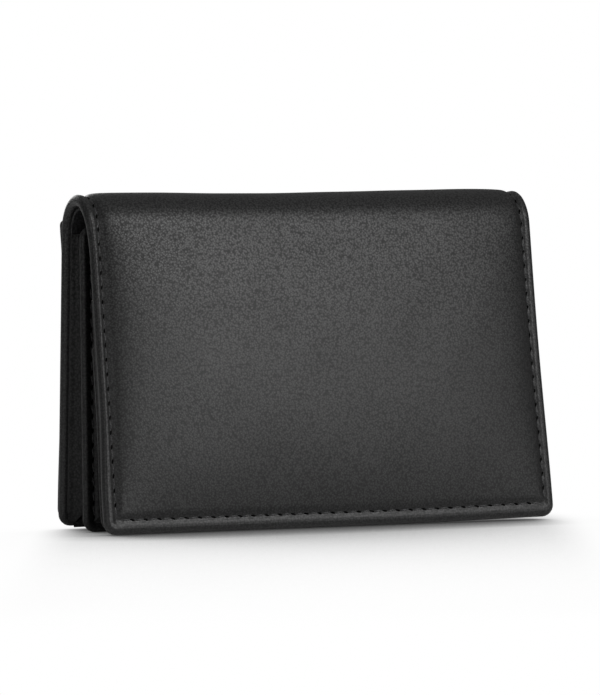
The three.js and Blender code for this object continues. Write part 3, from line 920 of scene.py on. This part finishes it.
def lay(name, points, given):
    """Object of one kind of mark along a seam."""
    mesh = bpy.data.meshes.new(name + "_points")
    mesh.from_pydata(points.at.tolist(), [], [])
    for key in ("along", "out"):
        values = np.ascontiguousarray(getattr(points, key), np.float32)
        mesh.attributes.new(key, "FLOAT_VECTOR", "POINT").data.foreach_set("vector", values.ravel())
    obj = show(name, mesh)
    modifier = obj.modifiers.new("Stitching", "NODES")
    modifier.node_group = seam_tree()
    for socket in modifier.node_group.interface.items_tree:
        if socket.in_out == "INPUT" and socket.name in given:
            modifier[socket.identifier] = given[socket.name]
    depsgraph = bpy.context.evaluated_depsgraph_get()
    done = bpy.data.meshes.new_from_object(obj.evaluated_get(depsgraph), depsgraph=depsgraph)
    obj.modifiers.remove(modifier)
    obj.data = done
    bpy.data.meshes.remove(mesh)
    done.shade_smooth()
    return obj


def thread_marks():
    """Sizes, slant in radians and finish of a stitch."""
    size = sizes()
    return {"Length": size.stitch, "Width": size.thread, "Height": 0.8 * size.thread, "Slant": 0.16,
            "Uneven": 0.05, "Material": twisted_thread()}


def hole_marks():
    """Sizes, slant in radians and finish of a needle hole, a dark pod of painted shade."""
    size = sizes()
    return {"Length": size.hole, "Width": 0.36 * size.hole, "Height": 0.36 * MM, "Slant": -0.35,
            "Uneven": 0.1, "Material": painted_hole_shade()}


def sew(name, runs, attach):
    """Threads, and dark pods of painted shade at the needle holes, of one seam. Each run is a place, a
    relief, an edge distance and its rows.
    """
    kinds = (("thread", thread_marks(), THREAD_OFFSET, THREAD_SINK), ("holes", hole_marks(), 0, HOLE_SINK))
    for kind, given, offset, sink in kinds:
        found = [marks(*on, *row, sink) for *on, rows in runs for row in rows(offset)]
        obj = lay(f"{name}_{kind}", Marks(*(np.concatenate(part) for part in zip(*found))), given)
        attach(obj)


def ride_on(body):
    return lambda obj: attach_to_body(obj, body)


class WALLET_OT_cover(bpy.types.Operator):
    """Cover of smooth nappa over a padded flap, its edges turned in, in three stretches"""

    bl_idname = "wallet.cover"
    bl_label = "Cover leather"

    def execute(self, context):
        size = sizes()
        thickness = hem_depth()
        face = face_profile(thickness, size.edge_roll, COVER_DETAIL)
        rear = rear_profile(thickness, size.edge_roll, size.hem_width, thickness - size.cover_leather)
        hem = size.hem_seam / size.seam
        for part, distance, lean in HALVES:
            outline = Outline(HALF_WIDTH, -half_length(lean), LIP, size.corner, hem=hem)
            reliefs = (padded_cover(distance), under_cover(distance))
            obj = panel(f"leather_{part}", outline, (face, rear), outside(distance), *reliefs)
            dress(obj, nappa(), "cover_leather", f"cover_{part}")
            bend_with_fold(obj, part)
        reliefs = (cover_relief, under_cover(fold_distance))
        obj = strip("leather_fold", HALF_WIDTH, (-FOLD_SEAM, FOLD_SEAM), (face, rear), fold_place, *reliefs)
        dress(obj, nappa(), "cover_leather", "cover_spine_rear", "cover_spine_front")
        bend_with_fold(obj, "fold")
        return {"FINISHED"}


class WALLET_OT_lining(bpy.types.Operator):
    """Leather lining over the turned hem, and the cloth interlining inside the fold"""

    bl_idname = "wallet.lining"
    bl_label = "Linings of the cover"

    def execute(self, context):
        size = sizes()
        half = HALF_WIDTH - size.lining_inset
        sheet = plain_sides(size.lining, size.lining / 2)
        inner = cover_depth()
        for part, distance, lean in HALVES:
            outline = Outline(half, size.lining_inset - half_length(lean), LIP, size.corner)
            obj = panel(f"lining_{part}", outline, sheet, inside(distance, inner))
            dress(obj, lining_leather(), "lining_leather", f"{part}_lining")
            bend_with_fold(obj, part)
        obj = strip("lining_fold", half, (-FOLD_SEAM, FOLD_SEAM), sheet, inside(fold_distance, inner))
        dress(obj, lining_leather(), "lining_leather", "lining_spine_rear", "lining_spine_front")
        bend_with_fold(obj, "fold")
        self.interline(size)
        return {"FINISHED"}

    def interline(self, size):
        top = size.cover_leather + size.layer_gap
        roll = size.interlining / 2
        sheet = (rim(size.interlining, roll), far_rim(size.interlining, roll))
        nodes = {"back": ["interlining_spine_rear"], "fold": [], "flap": ["interlining_spine_front"]}
        for part, (_, _, *ends) in FOLD_PARTS.items():
            obj = strip(f"interlining_{part}", HALF_WIDTH - top, ends, sheet, outside(fold_distance, top))
            dress(obj, woven_cloth(), "lining_cloth", *nodes[part])
            bend_with_fold(obj, part)


class WALLET_OT_padding(bpy.types.Operator):
    """Foam that swells the flap, and the boards that stiffen both halves and the pocket"""

    bl_idname = "wallet.padding"
    bl_label = "Padding and boards"

    def execute(self, context):
        size = sizes()
        gap = 0.03 * MM
        roll = 0.6 * MM
        taper = 4 * MM
        inset = size.seam + MM
        low = inset - half_length(FLAP_LEAN)
        outline = Outline(HALF_WIDTH - inset, low, -inset, size.corner, mouth=size.corner)
        obj = panel(
            "foam_flap", outline, plain_sides(size.layer_gap - 2 * gap, roll),
            outside(flap_distance, size.cover_leather + gap),
            lambda x, v, edge: swell(x, flap_distance(v)) * ramp(edge, 0, taper),
        )
        dress(obj, padding_foam(), "padding_foam", "flap_padding")
        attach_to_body(obj, "flap")
        board = fibre_board()
        for node in ("back_board", "flap_board", "pocket_front_board"):
            dress(frame["nodes"][node], board, "stiffener_board")
        return {"FINISHED"}


def line_pocket(name, outline, thickness, place, node, body):
    """Lines a pocket with cloth that is cut flat."""
    cloth = panel(name, outline, plain_sides(thickness, thickness / 2), place)
    dress(cloth, woven_cloth(), "lining_cloth", node)
    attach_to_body(cloth, body)


# Slip pocket
FLARED_MOUTH = (-8.5 * MM, 2 * MM)  # heights between which its mouth flares
FULL_FOOT = (36 * MM, 58 * MM)  # distances below the fold's axis between which its foot fills out
FOOT_SHARE = 0.5  # of the mouth's flare
SLIP_SWELL = 0.55 * MM
SLIP_SHOULDER = 9 * MM
SLIP_FADE = 2 * MM  # from the mouth, over which its relief fades in


def slip_flare(v):
    """How far the slip pocket stands off the back: flared at its mouth and full towards its foot."""
    return sizes().slip_flare * (ramp(v, *FLARED_MOUTH) ** 1.5 + FOOT_SHARE * ramp(-v, *FULL_FOOT))


def slip_place(face):
    return lambda x, v, depth: back_plane(x, v, face - depth + slip_flare(v))


def slip_outline():
    axis = FOLD_CENTRE[1] + FOLD_RADIUS * math.sin(BACK_LEAN)
    return sewn_on(sizes().slip_inset, BACK_LEAN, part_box("slip_pocket_leather")[1].z - axis)


def slip_face():
    """Distance of the slip pocket's outer face from the fold's axis."""
    return FOLD_RADIUS + sizes().layer_gap + sizes().slip_leather


def slip_relief(x, v, edge):
    """Face of the slip pocket: sewn sides and foot, a slight swell and soft waves."""
    size = sizes()
    outline = slip_outline()
    seam = size.seam - size.slip_inset
    sewn, side, foot = sewn_sides(outline, seam, x, v, back_distance(v))
    full = SLIP_SWELL * ramp(side, seam, seam + SLIP_SHOULDER) * ramp(foot, seam, seam + SLIP_SHOULDER)
    fades = ramp(outline.high - v, 0, SLIP_FADE) * ramp(edge, 0, size.slip_leather)
    return (sewn + full + leather_wave(x, v)) * fades


class WALLET_OT_slip_pocket(bpy.types.Operator):
    """Slip pocket outside the back, with a flared mouth and a cloth lining"""

    bl_idname = "wallet.slip_pocket"
    bl_label = "Slip pocket"

    def execute(self, context):
        size = sizes()
        outline = slip_outline()
        roll = 0.55 * MM
        face = face_profile(size.slip_leather, roll, POCKET_DETAIL)
        rear = rear_profile(size.slip_leather, roll, size.slip_seam, size.slip_room)
        obj = panel("leather_slip_pocket", outline, (face, rear), slip_place(slip_face()), slip_relief)
        dress(obj, nappa(), "cover_leather", "slip_pocket_leather")
        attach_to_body(obj, "back")
        inset = size.slip_seam + size.layer_gap
        low, high = outline.low + inset, outline.high - size.slip_inset
        cloth = Outline(outline.half - inset, low, high, size.corner, mouth=POCKET_MOUTH)
        place = slip_place(slip_face() - size.slip_leather + size.slip_room - size.layer_gap)
        line_pocket("cloth_slip_pocket", cloth, size.slip_cloth, place, "slip_pocket_lining", "back")
        return {"FINISHED"}


# Card pocket
WALL_SWELL = 0.25 * MM
WALL_SHOULDER = 8 * MM
WALL_BORDER = 3 * MM  # from the wall's edge to the grid on its rear


def wall_outline():
    low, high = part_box("pocket_front_leather")
    return Outline(high.x, low.z, high.z, sizes().corner, mouth=sizes().corner)


def wall_place(x, z, depth):
    """Point on the card pocket's front wall, at a depth behind its face."""
    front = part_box("pocket_front_leather")[0].y
    return np.stack(np.broadcast_arrays(x, front + depth, z), axis=-1)


def wall_relief(x, z, edge):
    """Face of the pocket wall: a row of stitches all round and soft waves."""
    outline = wall_outline()
    seam = sizes().wall_seam
    side = outline.half - np.abs(x)
    ends = np.minimum(z - outline.low, outline.high - z)
    sewn = sewn_edge(edge, np.where(side < ends, z, x), seam)
    full = WALL_SWELL * ramp(edge, seam, seam + WALL_SHOULDER)
    return sewn + full + leather_wave(x, z) * ramp(edge, 0, seam)


class WALLET_OT_card_pocket(bpy.types.Operator):
    """Front wall of the gusseted card pocket: leather turned round a board, with a cloth lining"""

    bl_idname = "wallet.card_pocket"
    bl_label = "Card pocket wall"

    def execute(self, context):
        size = sizes()
        outline = wall_outline()
        low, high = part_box("pocket_front_leather")
        thickness = high.y - low.y
        roll = 0.75 * MM
        hollow = thickness - size.wall_leather
        face = face_profile(thickness, roll, POCKET_DETAIL)
        rear = rear_profile(thickness, roll, size.wall_rim, hollow, WALL_BORDER - size.wall_rim)
        obj = panel("leather_pocket_wall", outline, (face, rear), wall_place, wall_relief)
        dress(obj, pocket_leather(), "pocket_leather", "pocket_front_leather")
        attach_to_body(obj, "pocket_front")
        inset = size.wall_rim + size.layer_gap
        ends = (outline.low + inset, outline.high - inset)
        cloth = Outline(outline.half - inset, *ends, size.corner, mouth=size.corner)

        def behind(x, z, depth):
            return wall_place(x, z, thickness - depth)
        line_pocket("cloth_pocket_wall", cloth, size.wall_cloth, behind, "pocket_front_lining",
                    "pocket_front")
        return {"FINISHED"}


# Card slots: the upper one is first, and the next lies over it
SLOT_PRESS = 1.6 * MM  # from a mouth to the line pressed under it
SLOT_PRESS_WIDTH = 0.25 * MM
SLOT_FADE = 0.8 * MM  # from the edge, over which the relief fades in
SLOT_PULL = 0.8  # share of the cover's seam valley
SLOT_WAVE = 0.6  # share of the cover's waves


def slot_outline(order):
    size = sizes()
    return sewn_on(size.slot_inset, FLAP_LEAN, -size.slot_mouth - order * size.slot_step)


def slot_place(order):
    size = sizes()
    return inside(flap_distance, cover_depth() + (order + 1) * (size.slot_leather + size.layer_gap))


def slot_relief(order):
    """Face of a card slot: sewn sides and foot, a pressed line under the mouth and a loose middle."""
    size = sizes()
    outline = slot_outline(order)

    def relief(x, v, edge):
        sewn = sewn_sides(outline, size.seam - size.slot_inset, x, v, flap_distance(v))[0]
        pressed = size.crease * groove(outline.high - v, SLOT_PRESS, SLOT_PRESS_WIDTH)
        return (SLOT_PULL * sewn - pressed + SLOT_WAVE * leather_wave(x, v)) * ramp(edge, 0, SLOT_FADE)
    return relief


class WALLET_OT_card_slots(bpy.types.Operator):
    """Two stepped card slots on the inside of the flap"""

    bl_idname = "wallet.card_slots"
    bl_label = "Card slots"

    def execute(self, context):
        size = sizes()
        roll = 0.5 * MM
        face = face_profile(size.slot_leather, roll, SLOT_DETAIL)
        rear = rear_profile(size.slot_leather, roll, PLAIN_BORDER, size.slot_room)
        for order, step in enumerate(("upper", "lower")):
            place, relief = slot_place(order), slot_relief(order)
            obj = panel(f"leather_slot_{step}", slot_outline(order), (face, rear), place, relief)
            dress(obj, pocket_leather(), "pocket_leather", f"card_slot_{step}")
            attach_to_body(obj, "flap")
        return {"FINISHED"}


# Gusset: each leaf hangs on its root line and tapers towards the apex of the pocket's wedge
APEX = hinge("pocket_spread")
GUSSET_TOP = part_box("gusset_left_front")[1].z
PARED_SHARE = 0.42  # share of a leaf's width that is pared, so that the leaves fold flat
FLANGE = ((1, 0.38), (0.75, 0.38), (0.4, 0.3))  # shares of its width, and millimetres towards the wall
BASE_FLANGE = 0.75  # share of the flange's width along the base
LEAF_SHARES = np.array([0.04, 0.1, 0.18, 0.3, 0.42, 0.55, 0.66, 0.76, 0.86, 0.93, 0.97])
SIDE_ROWS = 48
BASE_ROWS = 60


def wall_frame(wall):
    """Upward line and inward normal of a wall of the card pocket."""
    lean, sign = (BACK_LEAN, -1) if wall == "rear" else (0, 1)
    up = np.array([0, -math.sin(lean), math.cos(lean)])
    return up, sign * np.array([0, math.cos(lean), math.sin(lean)])


def leaf_lines(side, wall):
    """Root and fold edge of a leaf, each from its lower or left end, and its directions."""
    up, into = wall_frame(wall)
    spread = sizes().gusset_spread
    half_wedge = math.tan(BACK_LEAN / 2)
    root = hinge(f"leaf_{side}_{wall}_fold")
    to_base = APEX[2] - hinge("leaf_base_front_fold")[2]
    inward = up if side == "base" else np.array([-math.copysign(1, root[0]), 0, 0])
    leaf = math.cos(spread) * inward + math.sin(spread) * into
    if side == "base":
        reach = to_base * half_wedge / (math.sin(spread) + math.cos(spread) * half_wedge)
        across = np.array([1.0, 0, 0])
        half = abs(hinge("leaf_left_front_fold")[0])
        roots = (root - half * across, root + half * across)
        tips = (roots[0] + reach * (leaf + across), roots[1] + reach * (leaf - across))
    else:
        taper = half_wedge / math.sin(spread)
        apex = np.array([root[0], *APEX[1:]])
        to_top = APEX[2] - GUSSET_TOP
        reach = to_base * taper / (1 + taper)
        roots = (apex - to_base * up, apex - to_top * up)
        tips = (roots[0] + reach * (leaf + up), roots[1] + to_top * taper * leaf)
    return roots, tips, inward, into, leaf


def leaf_sheet(side, wall):
    """Leaf with its sewn flange, a soft bend at its root and an edge pared thin at the gusset's fold."""
    size = sizes()
    roots, tips, inward, into, _ = leaf_lines(side, wall)
    width = (BASE_FLANGE if side == "base" else 1) * size.gusset_flange
    steps = np.linspace(0, 1, BASE_ROWS if side == "base" else SIDE_ROWS)[:, None]
    root_line = roots[0] + (roots[1] - roots[0]) * steps
    tip_line = tips[0] + (tips[1] - tips[0]) * steps
    columns = [root_line - inward * share * width - into * drop * MM for share, drop in FLANGE]
    columns += [root_line + (tip_line - root_line) * share for share in LEAF_SHARES]
    pared = np.clip((1 - np.concatenate([np.zeros(len(FLANGE)), LEAF_SHARES])) / PARED_SHARE, 0, 1)
    return np.stack(columns, axis=1), size.gusset_leather * pared


def thick_sheet(name, grid, thickness):
    """Closed sheet about a grid of points, with a thickness for each column and sharp edges."""
    normal = np.cross(np.gradient(grid, axis=0), np.gradient(grid, axis=1))
    normal /= np.linalg.norm(normal, axis=2, keepdims=True)
    rows, columns = grid.shape[:2]
    half = np.tile(thickness[:, None] / 2, (rows, 1, 1))
    half[0] = half[-1] = 0
    half[:, 0] = half[:, -1] = 0
    points = np.concatenate([(grid + normal * half * sign).reshape(-1, 3) for sign in (1, -1)])
    faces = np.concatenate([cells(rows, columns), cells(rows, columns, first=rows * columns)])
    return closed(name, points, faces, np.zeros(len(points)))


class WALLET_OT_gusset(bpy.types.Operator):
    """Accordion gusset: six leaves that fold inwards between the back and the card pocket's wall"""

    bl_idname = "wallet.gusset"
    bl_label = "Gusset"

    def execute(self, context):
        for side in ("left", "right", "base"):
            for wall, body in (("rear", "back"), ("front", "pocket_front")):
                obj = thick_sheet(f"leather_gusset_{side}_{wall}", *leaf_sheet(side, wall))
                dress(obj, gusset_leather(), "gusset_leather", f"gusset_{side}_{wall}")
                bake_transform(obj)
        return {"FINISHED"}


class WALLET_OT_stitching(bpy.types.Operator):
    """Thread, and dark pods of painted shade at the needle holes, along every seam that shows"""

    bl_idname = "wallet.stitching"
    bl_label = "Stitching"

    def execute(self, context):
        size = sizes()
        half = HALF_WIDTH - size.seam
        self.sew_cover(size, half)
        self.sew_slip_pocket(size, half)
        self.sew_card_pocket(size.wall_seam)
        self.sew_flap_inside(size, half)
        return {"FINISHED"}

    def sew_cover(self, size, half):
        on = (fold_place, cover_relief, size.seam)
        foot = HALF_ARC + half_length(FLAP_LEAN) - size.hem_seam
        spans = {
            "back": (back_distance(slip_outline().high) + STITCH_END, -FOLD_SEAM),
            "fold": (-FOLD_SEAM, FOLD_SEAM),
            "flap": (FOLD_SEAM, foot - STITCH_END),
        }
        for part, span in spans.items():
            runs = [(*on, both_sides(half, *span))]
            if part == "flap":
                runs.append((*on, one_end(half, foot)))
            sew(f"seam_{part}", runs, lambda obj: bend_with_fold(obj, part))

    def sew_slip_pocket(self, size, half):
        on = (slip_place(slip_face()), slip_relief, size.seam - size.slip_inset)
        foot = size.hem_seam - half_length(BACK_LEAN)
        low = back_distance(foot) + STITCH_END
        high = back_distance(slip_outline().high) - MOUTH_END
        sides = both_sides(half, low, high, lambda s: s + HALF_ARC)
        sew("seam_slip_pocket", [(*on, sides), (*on, one_end(half, foot))], ride_on("back"))

    def sew_card_pocket(self, seam):
        outline = wall_outline()
        on = (wall_place, wall_relief, seam)
        half, low, high = outline.half - seam, outline.low + seam, outline.high - seam
        sides = both_sides(half, low + STITCH_END, high - STITCH_END)
        runs = [(*on, sides), (*on, one_end(half, low)), (*on, one_end(half, high))]
        sew("seam_card_pocket", runs, ride_on("pocket_front"))

    def sew_flap_inside(self, size, half):
        foot = size.hem_seam - half_length(FLAP_LEAN)
        upper, lower = slot_outline(0).high, slot_outline(1).high
        edge = size.seam - size.slot_inset
        bare = (inside(flap_distance, cover_depth()), flat, size.seam - size.lining_inset)
        first, second = ((slot_place(order), slot_relief(order), edge) for order in (0, 1))
        stretches = (
            (bare, upper + SLOT_END, -LINING_END),
            (first, lower + SLOT_END, upper - SLOT_END),
            (second, foot + STITCH_END, lower - SLOT_END),
        )
        runs = []
        for on, low, high in stretches:
            span = (flap_distance(high), flap_distance(low))
            runs.append((*on, both_sides(half, *span, lambda s: HALF_ARC - s)))
        runs.append((*second, one_end(half, foot)))
        sew("seam_flap_inside", runs, ride_on("flap"))


# Stage
FLOOR_REACH = 6.0
SHADE_SOFTNESS = 0.64  # power of the long painted shadow
STUDIO_FRONT = 1.1  # shares of the studio light from the front and the rear, from the sides and from above
STUDIO_SIDES = 0.4
STUDIO_TOP = 1.8


def towards(azimuth, elevation):
    """Direction from the wallet, turned from the front towards +X and raised from the floor."""
    out = math.cos(elevation)
    return Vector((math.sin(azimuth) * out, -math.cos(azimuth) * out, math.sin(elevation)))


def camera_sees(tree):
    """One for what the camera sees, straight or through something clear, and none for other rays."""
    path = add(tree, "ShaderNodeLightPath").outputs
    rays = {0: path["Is Camera Ray"], 1: path["Is Transmission Ray"]}
    return add(tree, "ShaderNodeMath", rays, operation="MAXIMUM")


def openness(tree, reach, direction):
    """How much of the view from the floor in a direction the wallet leaves open."""
    heading = add(tree, "ShaderNodeCombineXYZ", dict(zip("XYZ", direction)))
    view = {"Distance": reach, "Normal": heading}
    return add(tree, "ShaderNodeAmbientOcclusion", view, samples=16).outputs["AO"]


def white_paper(stage):
    """Matt white paper. The camera sees it as an even white glow, with the wallet's soft shadow painted into
    that glow in front.
    """
    material, tree, shader, at = surface("matt_white_paper")
    feed(tree, shader, {"Base Color": colours().floor, "Roughness": 1, "Specular IOR Level": 0})
    azimuth = stage.shade_azimuth
    # Painted shadow: occlusion towards set directions darkens the glow that the camera sees; the lamps cast
    # none of it
    rear = openness(tree, stage.shadow_reach, towards(azimuth, stage.shade_rise))
    contact = openness(tree, stage.contact_reach, towards(azimuth, stage.contact_rise))
    front = add(tree, "ShaderNodeMapRange", {"Value": rear, "From Min": 0.4, "From Max": 0.95, "To Min": 0.1})
    soft = add(tree, "ShaderNodeMath", {0: front, 1: SHADE_SOFTNESS}, operation="POWER")
    painted_shadow = add(tree, "ShaderNodeMath", {0: soft, 1: contact}, operation="MULTIPLY")
    # The painted shadow fades out across a fixed band beside the wallet
    sideways = {0: at, 1: (-math.cos(azimuth), -math.sin(azimuth), 0)}
    across = add(tree, "ShaderNodeVectorMath", sideways, operation="DOT_PRODUCT").outputs["Value"]
    shifted = add(tree, "ShaderNodeMath", {0: across, 1: stage.shade_shift}, operation="SUBTRACT")
    aside = add(tree, "ShaderNodeMath", {0: shifted}, operation="ABSOLUTE")
    end = stage.shade_half + stage.shade_fade
    fade = {"Value": aside, "From Min": stage.shade_half, "From Max": end, "To Min": 1, "To Max": 0.1}
    beside = add(tree, "ShaderNodeMapRange", fade, interpolation_type="SMOOTHSTEP")
    strength = add(tree, "ShaderNodeMix", {"Factor": beside, "A": 1, "B": painted_shadow})
    paper = add(tree, "ShaderNodeEmission", {"Color": WHITE, "Strength": strength})
    mix = add(tree, "ShaderNodeMixShader", {0: camera_sees(tree), 1: shader, 2: paper})
    output = next(node for node in tree.nodes if node.type == "OUTPUT_MATERIAL")
    feed(tree, output, {"Surface": mix})
    return material


class WALLET_OT_stage(bpy.types.Operator):
    """White floor, soft studio light and the camera at the photograph's angle"""

    bl_idname = "wallet.stage"
    bl_label = "Stage"

    def execute(self, context):
        scene = context.scene
        scene.view_settings.view_transform = "Standard"
        stage = scene.wallet_stage
        self.lay_floor(stage)
        self.light_world(scene, stage)
        for lamp in ("key", "side", "rear"):
            self.hang_lamp(stage, lamp)
        self.set_camera(scene, stage)
        return {"FINISHED"}

    def lay_floor(self, stage):
        mesh = bpy.data.meshes.new("floor")
        corners = [(x * FLOOR_REACH, y * FLOOR_REACH, 0) for x, y in ((-1, -1), (1, -1), (1, 1), (-1, 1))]
        mesh.from_pydata(corners, [], [(0, 1, 2, 3)])
        floor = show("floor", mesh)
        mesh.materials.append(white_paper(stage))

    def light_world(self, scene, stage):
        """White behind everything that the camera sees, and soft light from the whole studio for the rest."""
        world = bpy.data.worlds.new("studio")
        world.use_nodes = True
        tree = world.node_tree
        tree.nodes.clear()
        heading = add(tree, "ShaderNodeTexCoord").outputs["Generated"]
        parts = add(tree, "ShaderNodeSeparateXYZ", {0: heading}).outputs
        aside = add(tree, "ShaderNodeMath", {0: parts["X"]}, operation="ABSOLUTE")
        turning = {"From Min": 0.3, "From Max": 0.9}
        round_about = {"Value": aside, **turning, "To Min": STUDIO_FRONT * stage.studio,
                       "To Max": STUDIO_SIDES * stage.studio}
        sides = add(tree, "ShaderNodeMapRange", round_about)
        overhead = {"Value": parts["Z"], **turning, "To Min": 1, "To Max": STUDIO_TOP}
        above = add(tree, "ShaderNodeMapRange", overhead)
        strength = add(tree, "ShaderNodeMath", {0: sides, 1: above}, operation="MULTIPLY")
        studio = add(tree, "ShaderNodeBackground", {"Color": WHITE, "Strength": strength})
        white = add(tree, "ShaderNodeBackground", {"Color": WHITE, "Strength": 1})
        mix = add(tree, "ShaderNodeMixShader", {0: camera_sees(tree), 1: studio, 2: white})
        add(tree, "ShaderNodeOutputWorld", {"Surface": mix})
        scene.world = world

    def hang_lamp(self, stage, lamp):
        """Softbox that faces the wallet."""
        light = bpy.data.lights.new(f"{lamp}_light", "AREA")
        light.shape = "RECTANGLE"
        light.size = getattr(stage, f"{lamp}_width")
        light.size_y = getattr(stage, f"{lamp}_height")
        light.energy = getattr(stage, f"{lamp}_power")
        obj = bpy.data.objects.new(light.name, light)
        out = towards(getattr(stage, f"{lamp}_azimuth"), getattr(stage, f"{lamp}_elevation"))
        obj.location = out * stage.lamp_distance + Vector((0, 0, FOLD_CENTRE[1] / 2))
        obj.rotation_euler = out.to_track_quat("Z", "Y").to_euler()
        bpy.context.scene.collection.objects.link(obj)

    def set_camera(self, scene, stage):
        """Camera as fitted to the photograph: round the wallet, nearly level and leaning a little."""
        back = towards(stage.azimuth, stage.elevation)
        right = Vector((math.cos(stage.azimuth), math.sin(stage.azimuth), 0))
        up = back.cross(right)
        eye = back * stage.distance + right * stage.across + up * stage.height
        eye.y += stage.aim_depth
        lean, rise = math.sin(stage.roll), math.cos(stage.roll)
        turned = Matrix((right * rise - up * lean, right * lean + up * rise, back)).transposed()
        camera = bpy.data.cameras.new("camera")
        camera.sensor_fit = "HORIZONTAL"
        camera.lens = stage.lens
        camera.clip_start = 0.01
        camera.clip_end = 100
        obj = bpy.data.objects.new("camera", camera)
        obj.matrix_world = Matrix.Translation(eye) @ turned.to_4x4()
        scene.collection.objects.link(obj)
        scene.camera = obj


OPERATORS = (
    WALLET_OT_cover,
    WALLET_OT_lining,
    WALLET_OT_padding,
    WALLET_OT_slip_pocket,
    WALLET_OT_card_pocket,
    WALLET_OT_card_slots,
    WALLET_OT_gusset,
    WALLET_OT_stitching,
    WALLET_OT_stage,
)


class WALLET_PT_panel(bpy.types.Panel):
    """Lists the steps that make the wallet, with their sizes and colours"""

    bl_idname = "WALLET_PT_panel"
    bl_label = "Card wallet"
    bl_space_type = "VIEW_3D"
    bl_region_type = "UI"
    bl_category = "Wallet"

    def draw(self, context):
        for operator in OPERATORS:
            self.layout.operator(operator.bl_idname)
        for group in (sizes(), colours(), context.scene.wallet_stage):
            box = self.layout.box()
            for key in group.bl_rna.properties.keys():
                if key not in {"rna_type", "name"}:
                    box.prop(group, key)


GROUPS = {"wallet_sizes": WalletSizes, "wallet_colours": WalletColours, "wallet_stage": WalletStage}


def register():
    for kind in (*GROUPS.values(), *OPERATORS, WALLET_PT_panel):
        bpy.utils.register_class(kind)
    for key, kind in GROUPS.items():
        setattr(bpy.types.Scene, key, PointerProperty(type=kind))


def unregister():
    for key in GROUPS:
        delattr(bpy.types.Scene, key)
    for kind in (WALLET_PT_panel, *reversed(OPERATORS), *GROUPS.values()):
        bpy.utils.unregister_class(kind)


def main():
    register()
    for operator in OPERATORS:
        group, name = operator.bl_idname.split(".")
        getattr(getattr(bpy.ops, group), name)()


if __name__ == "__main__":
    main()
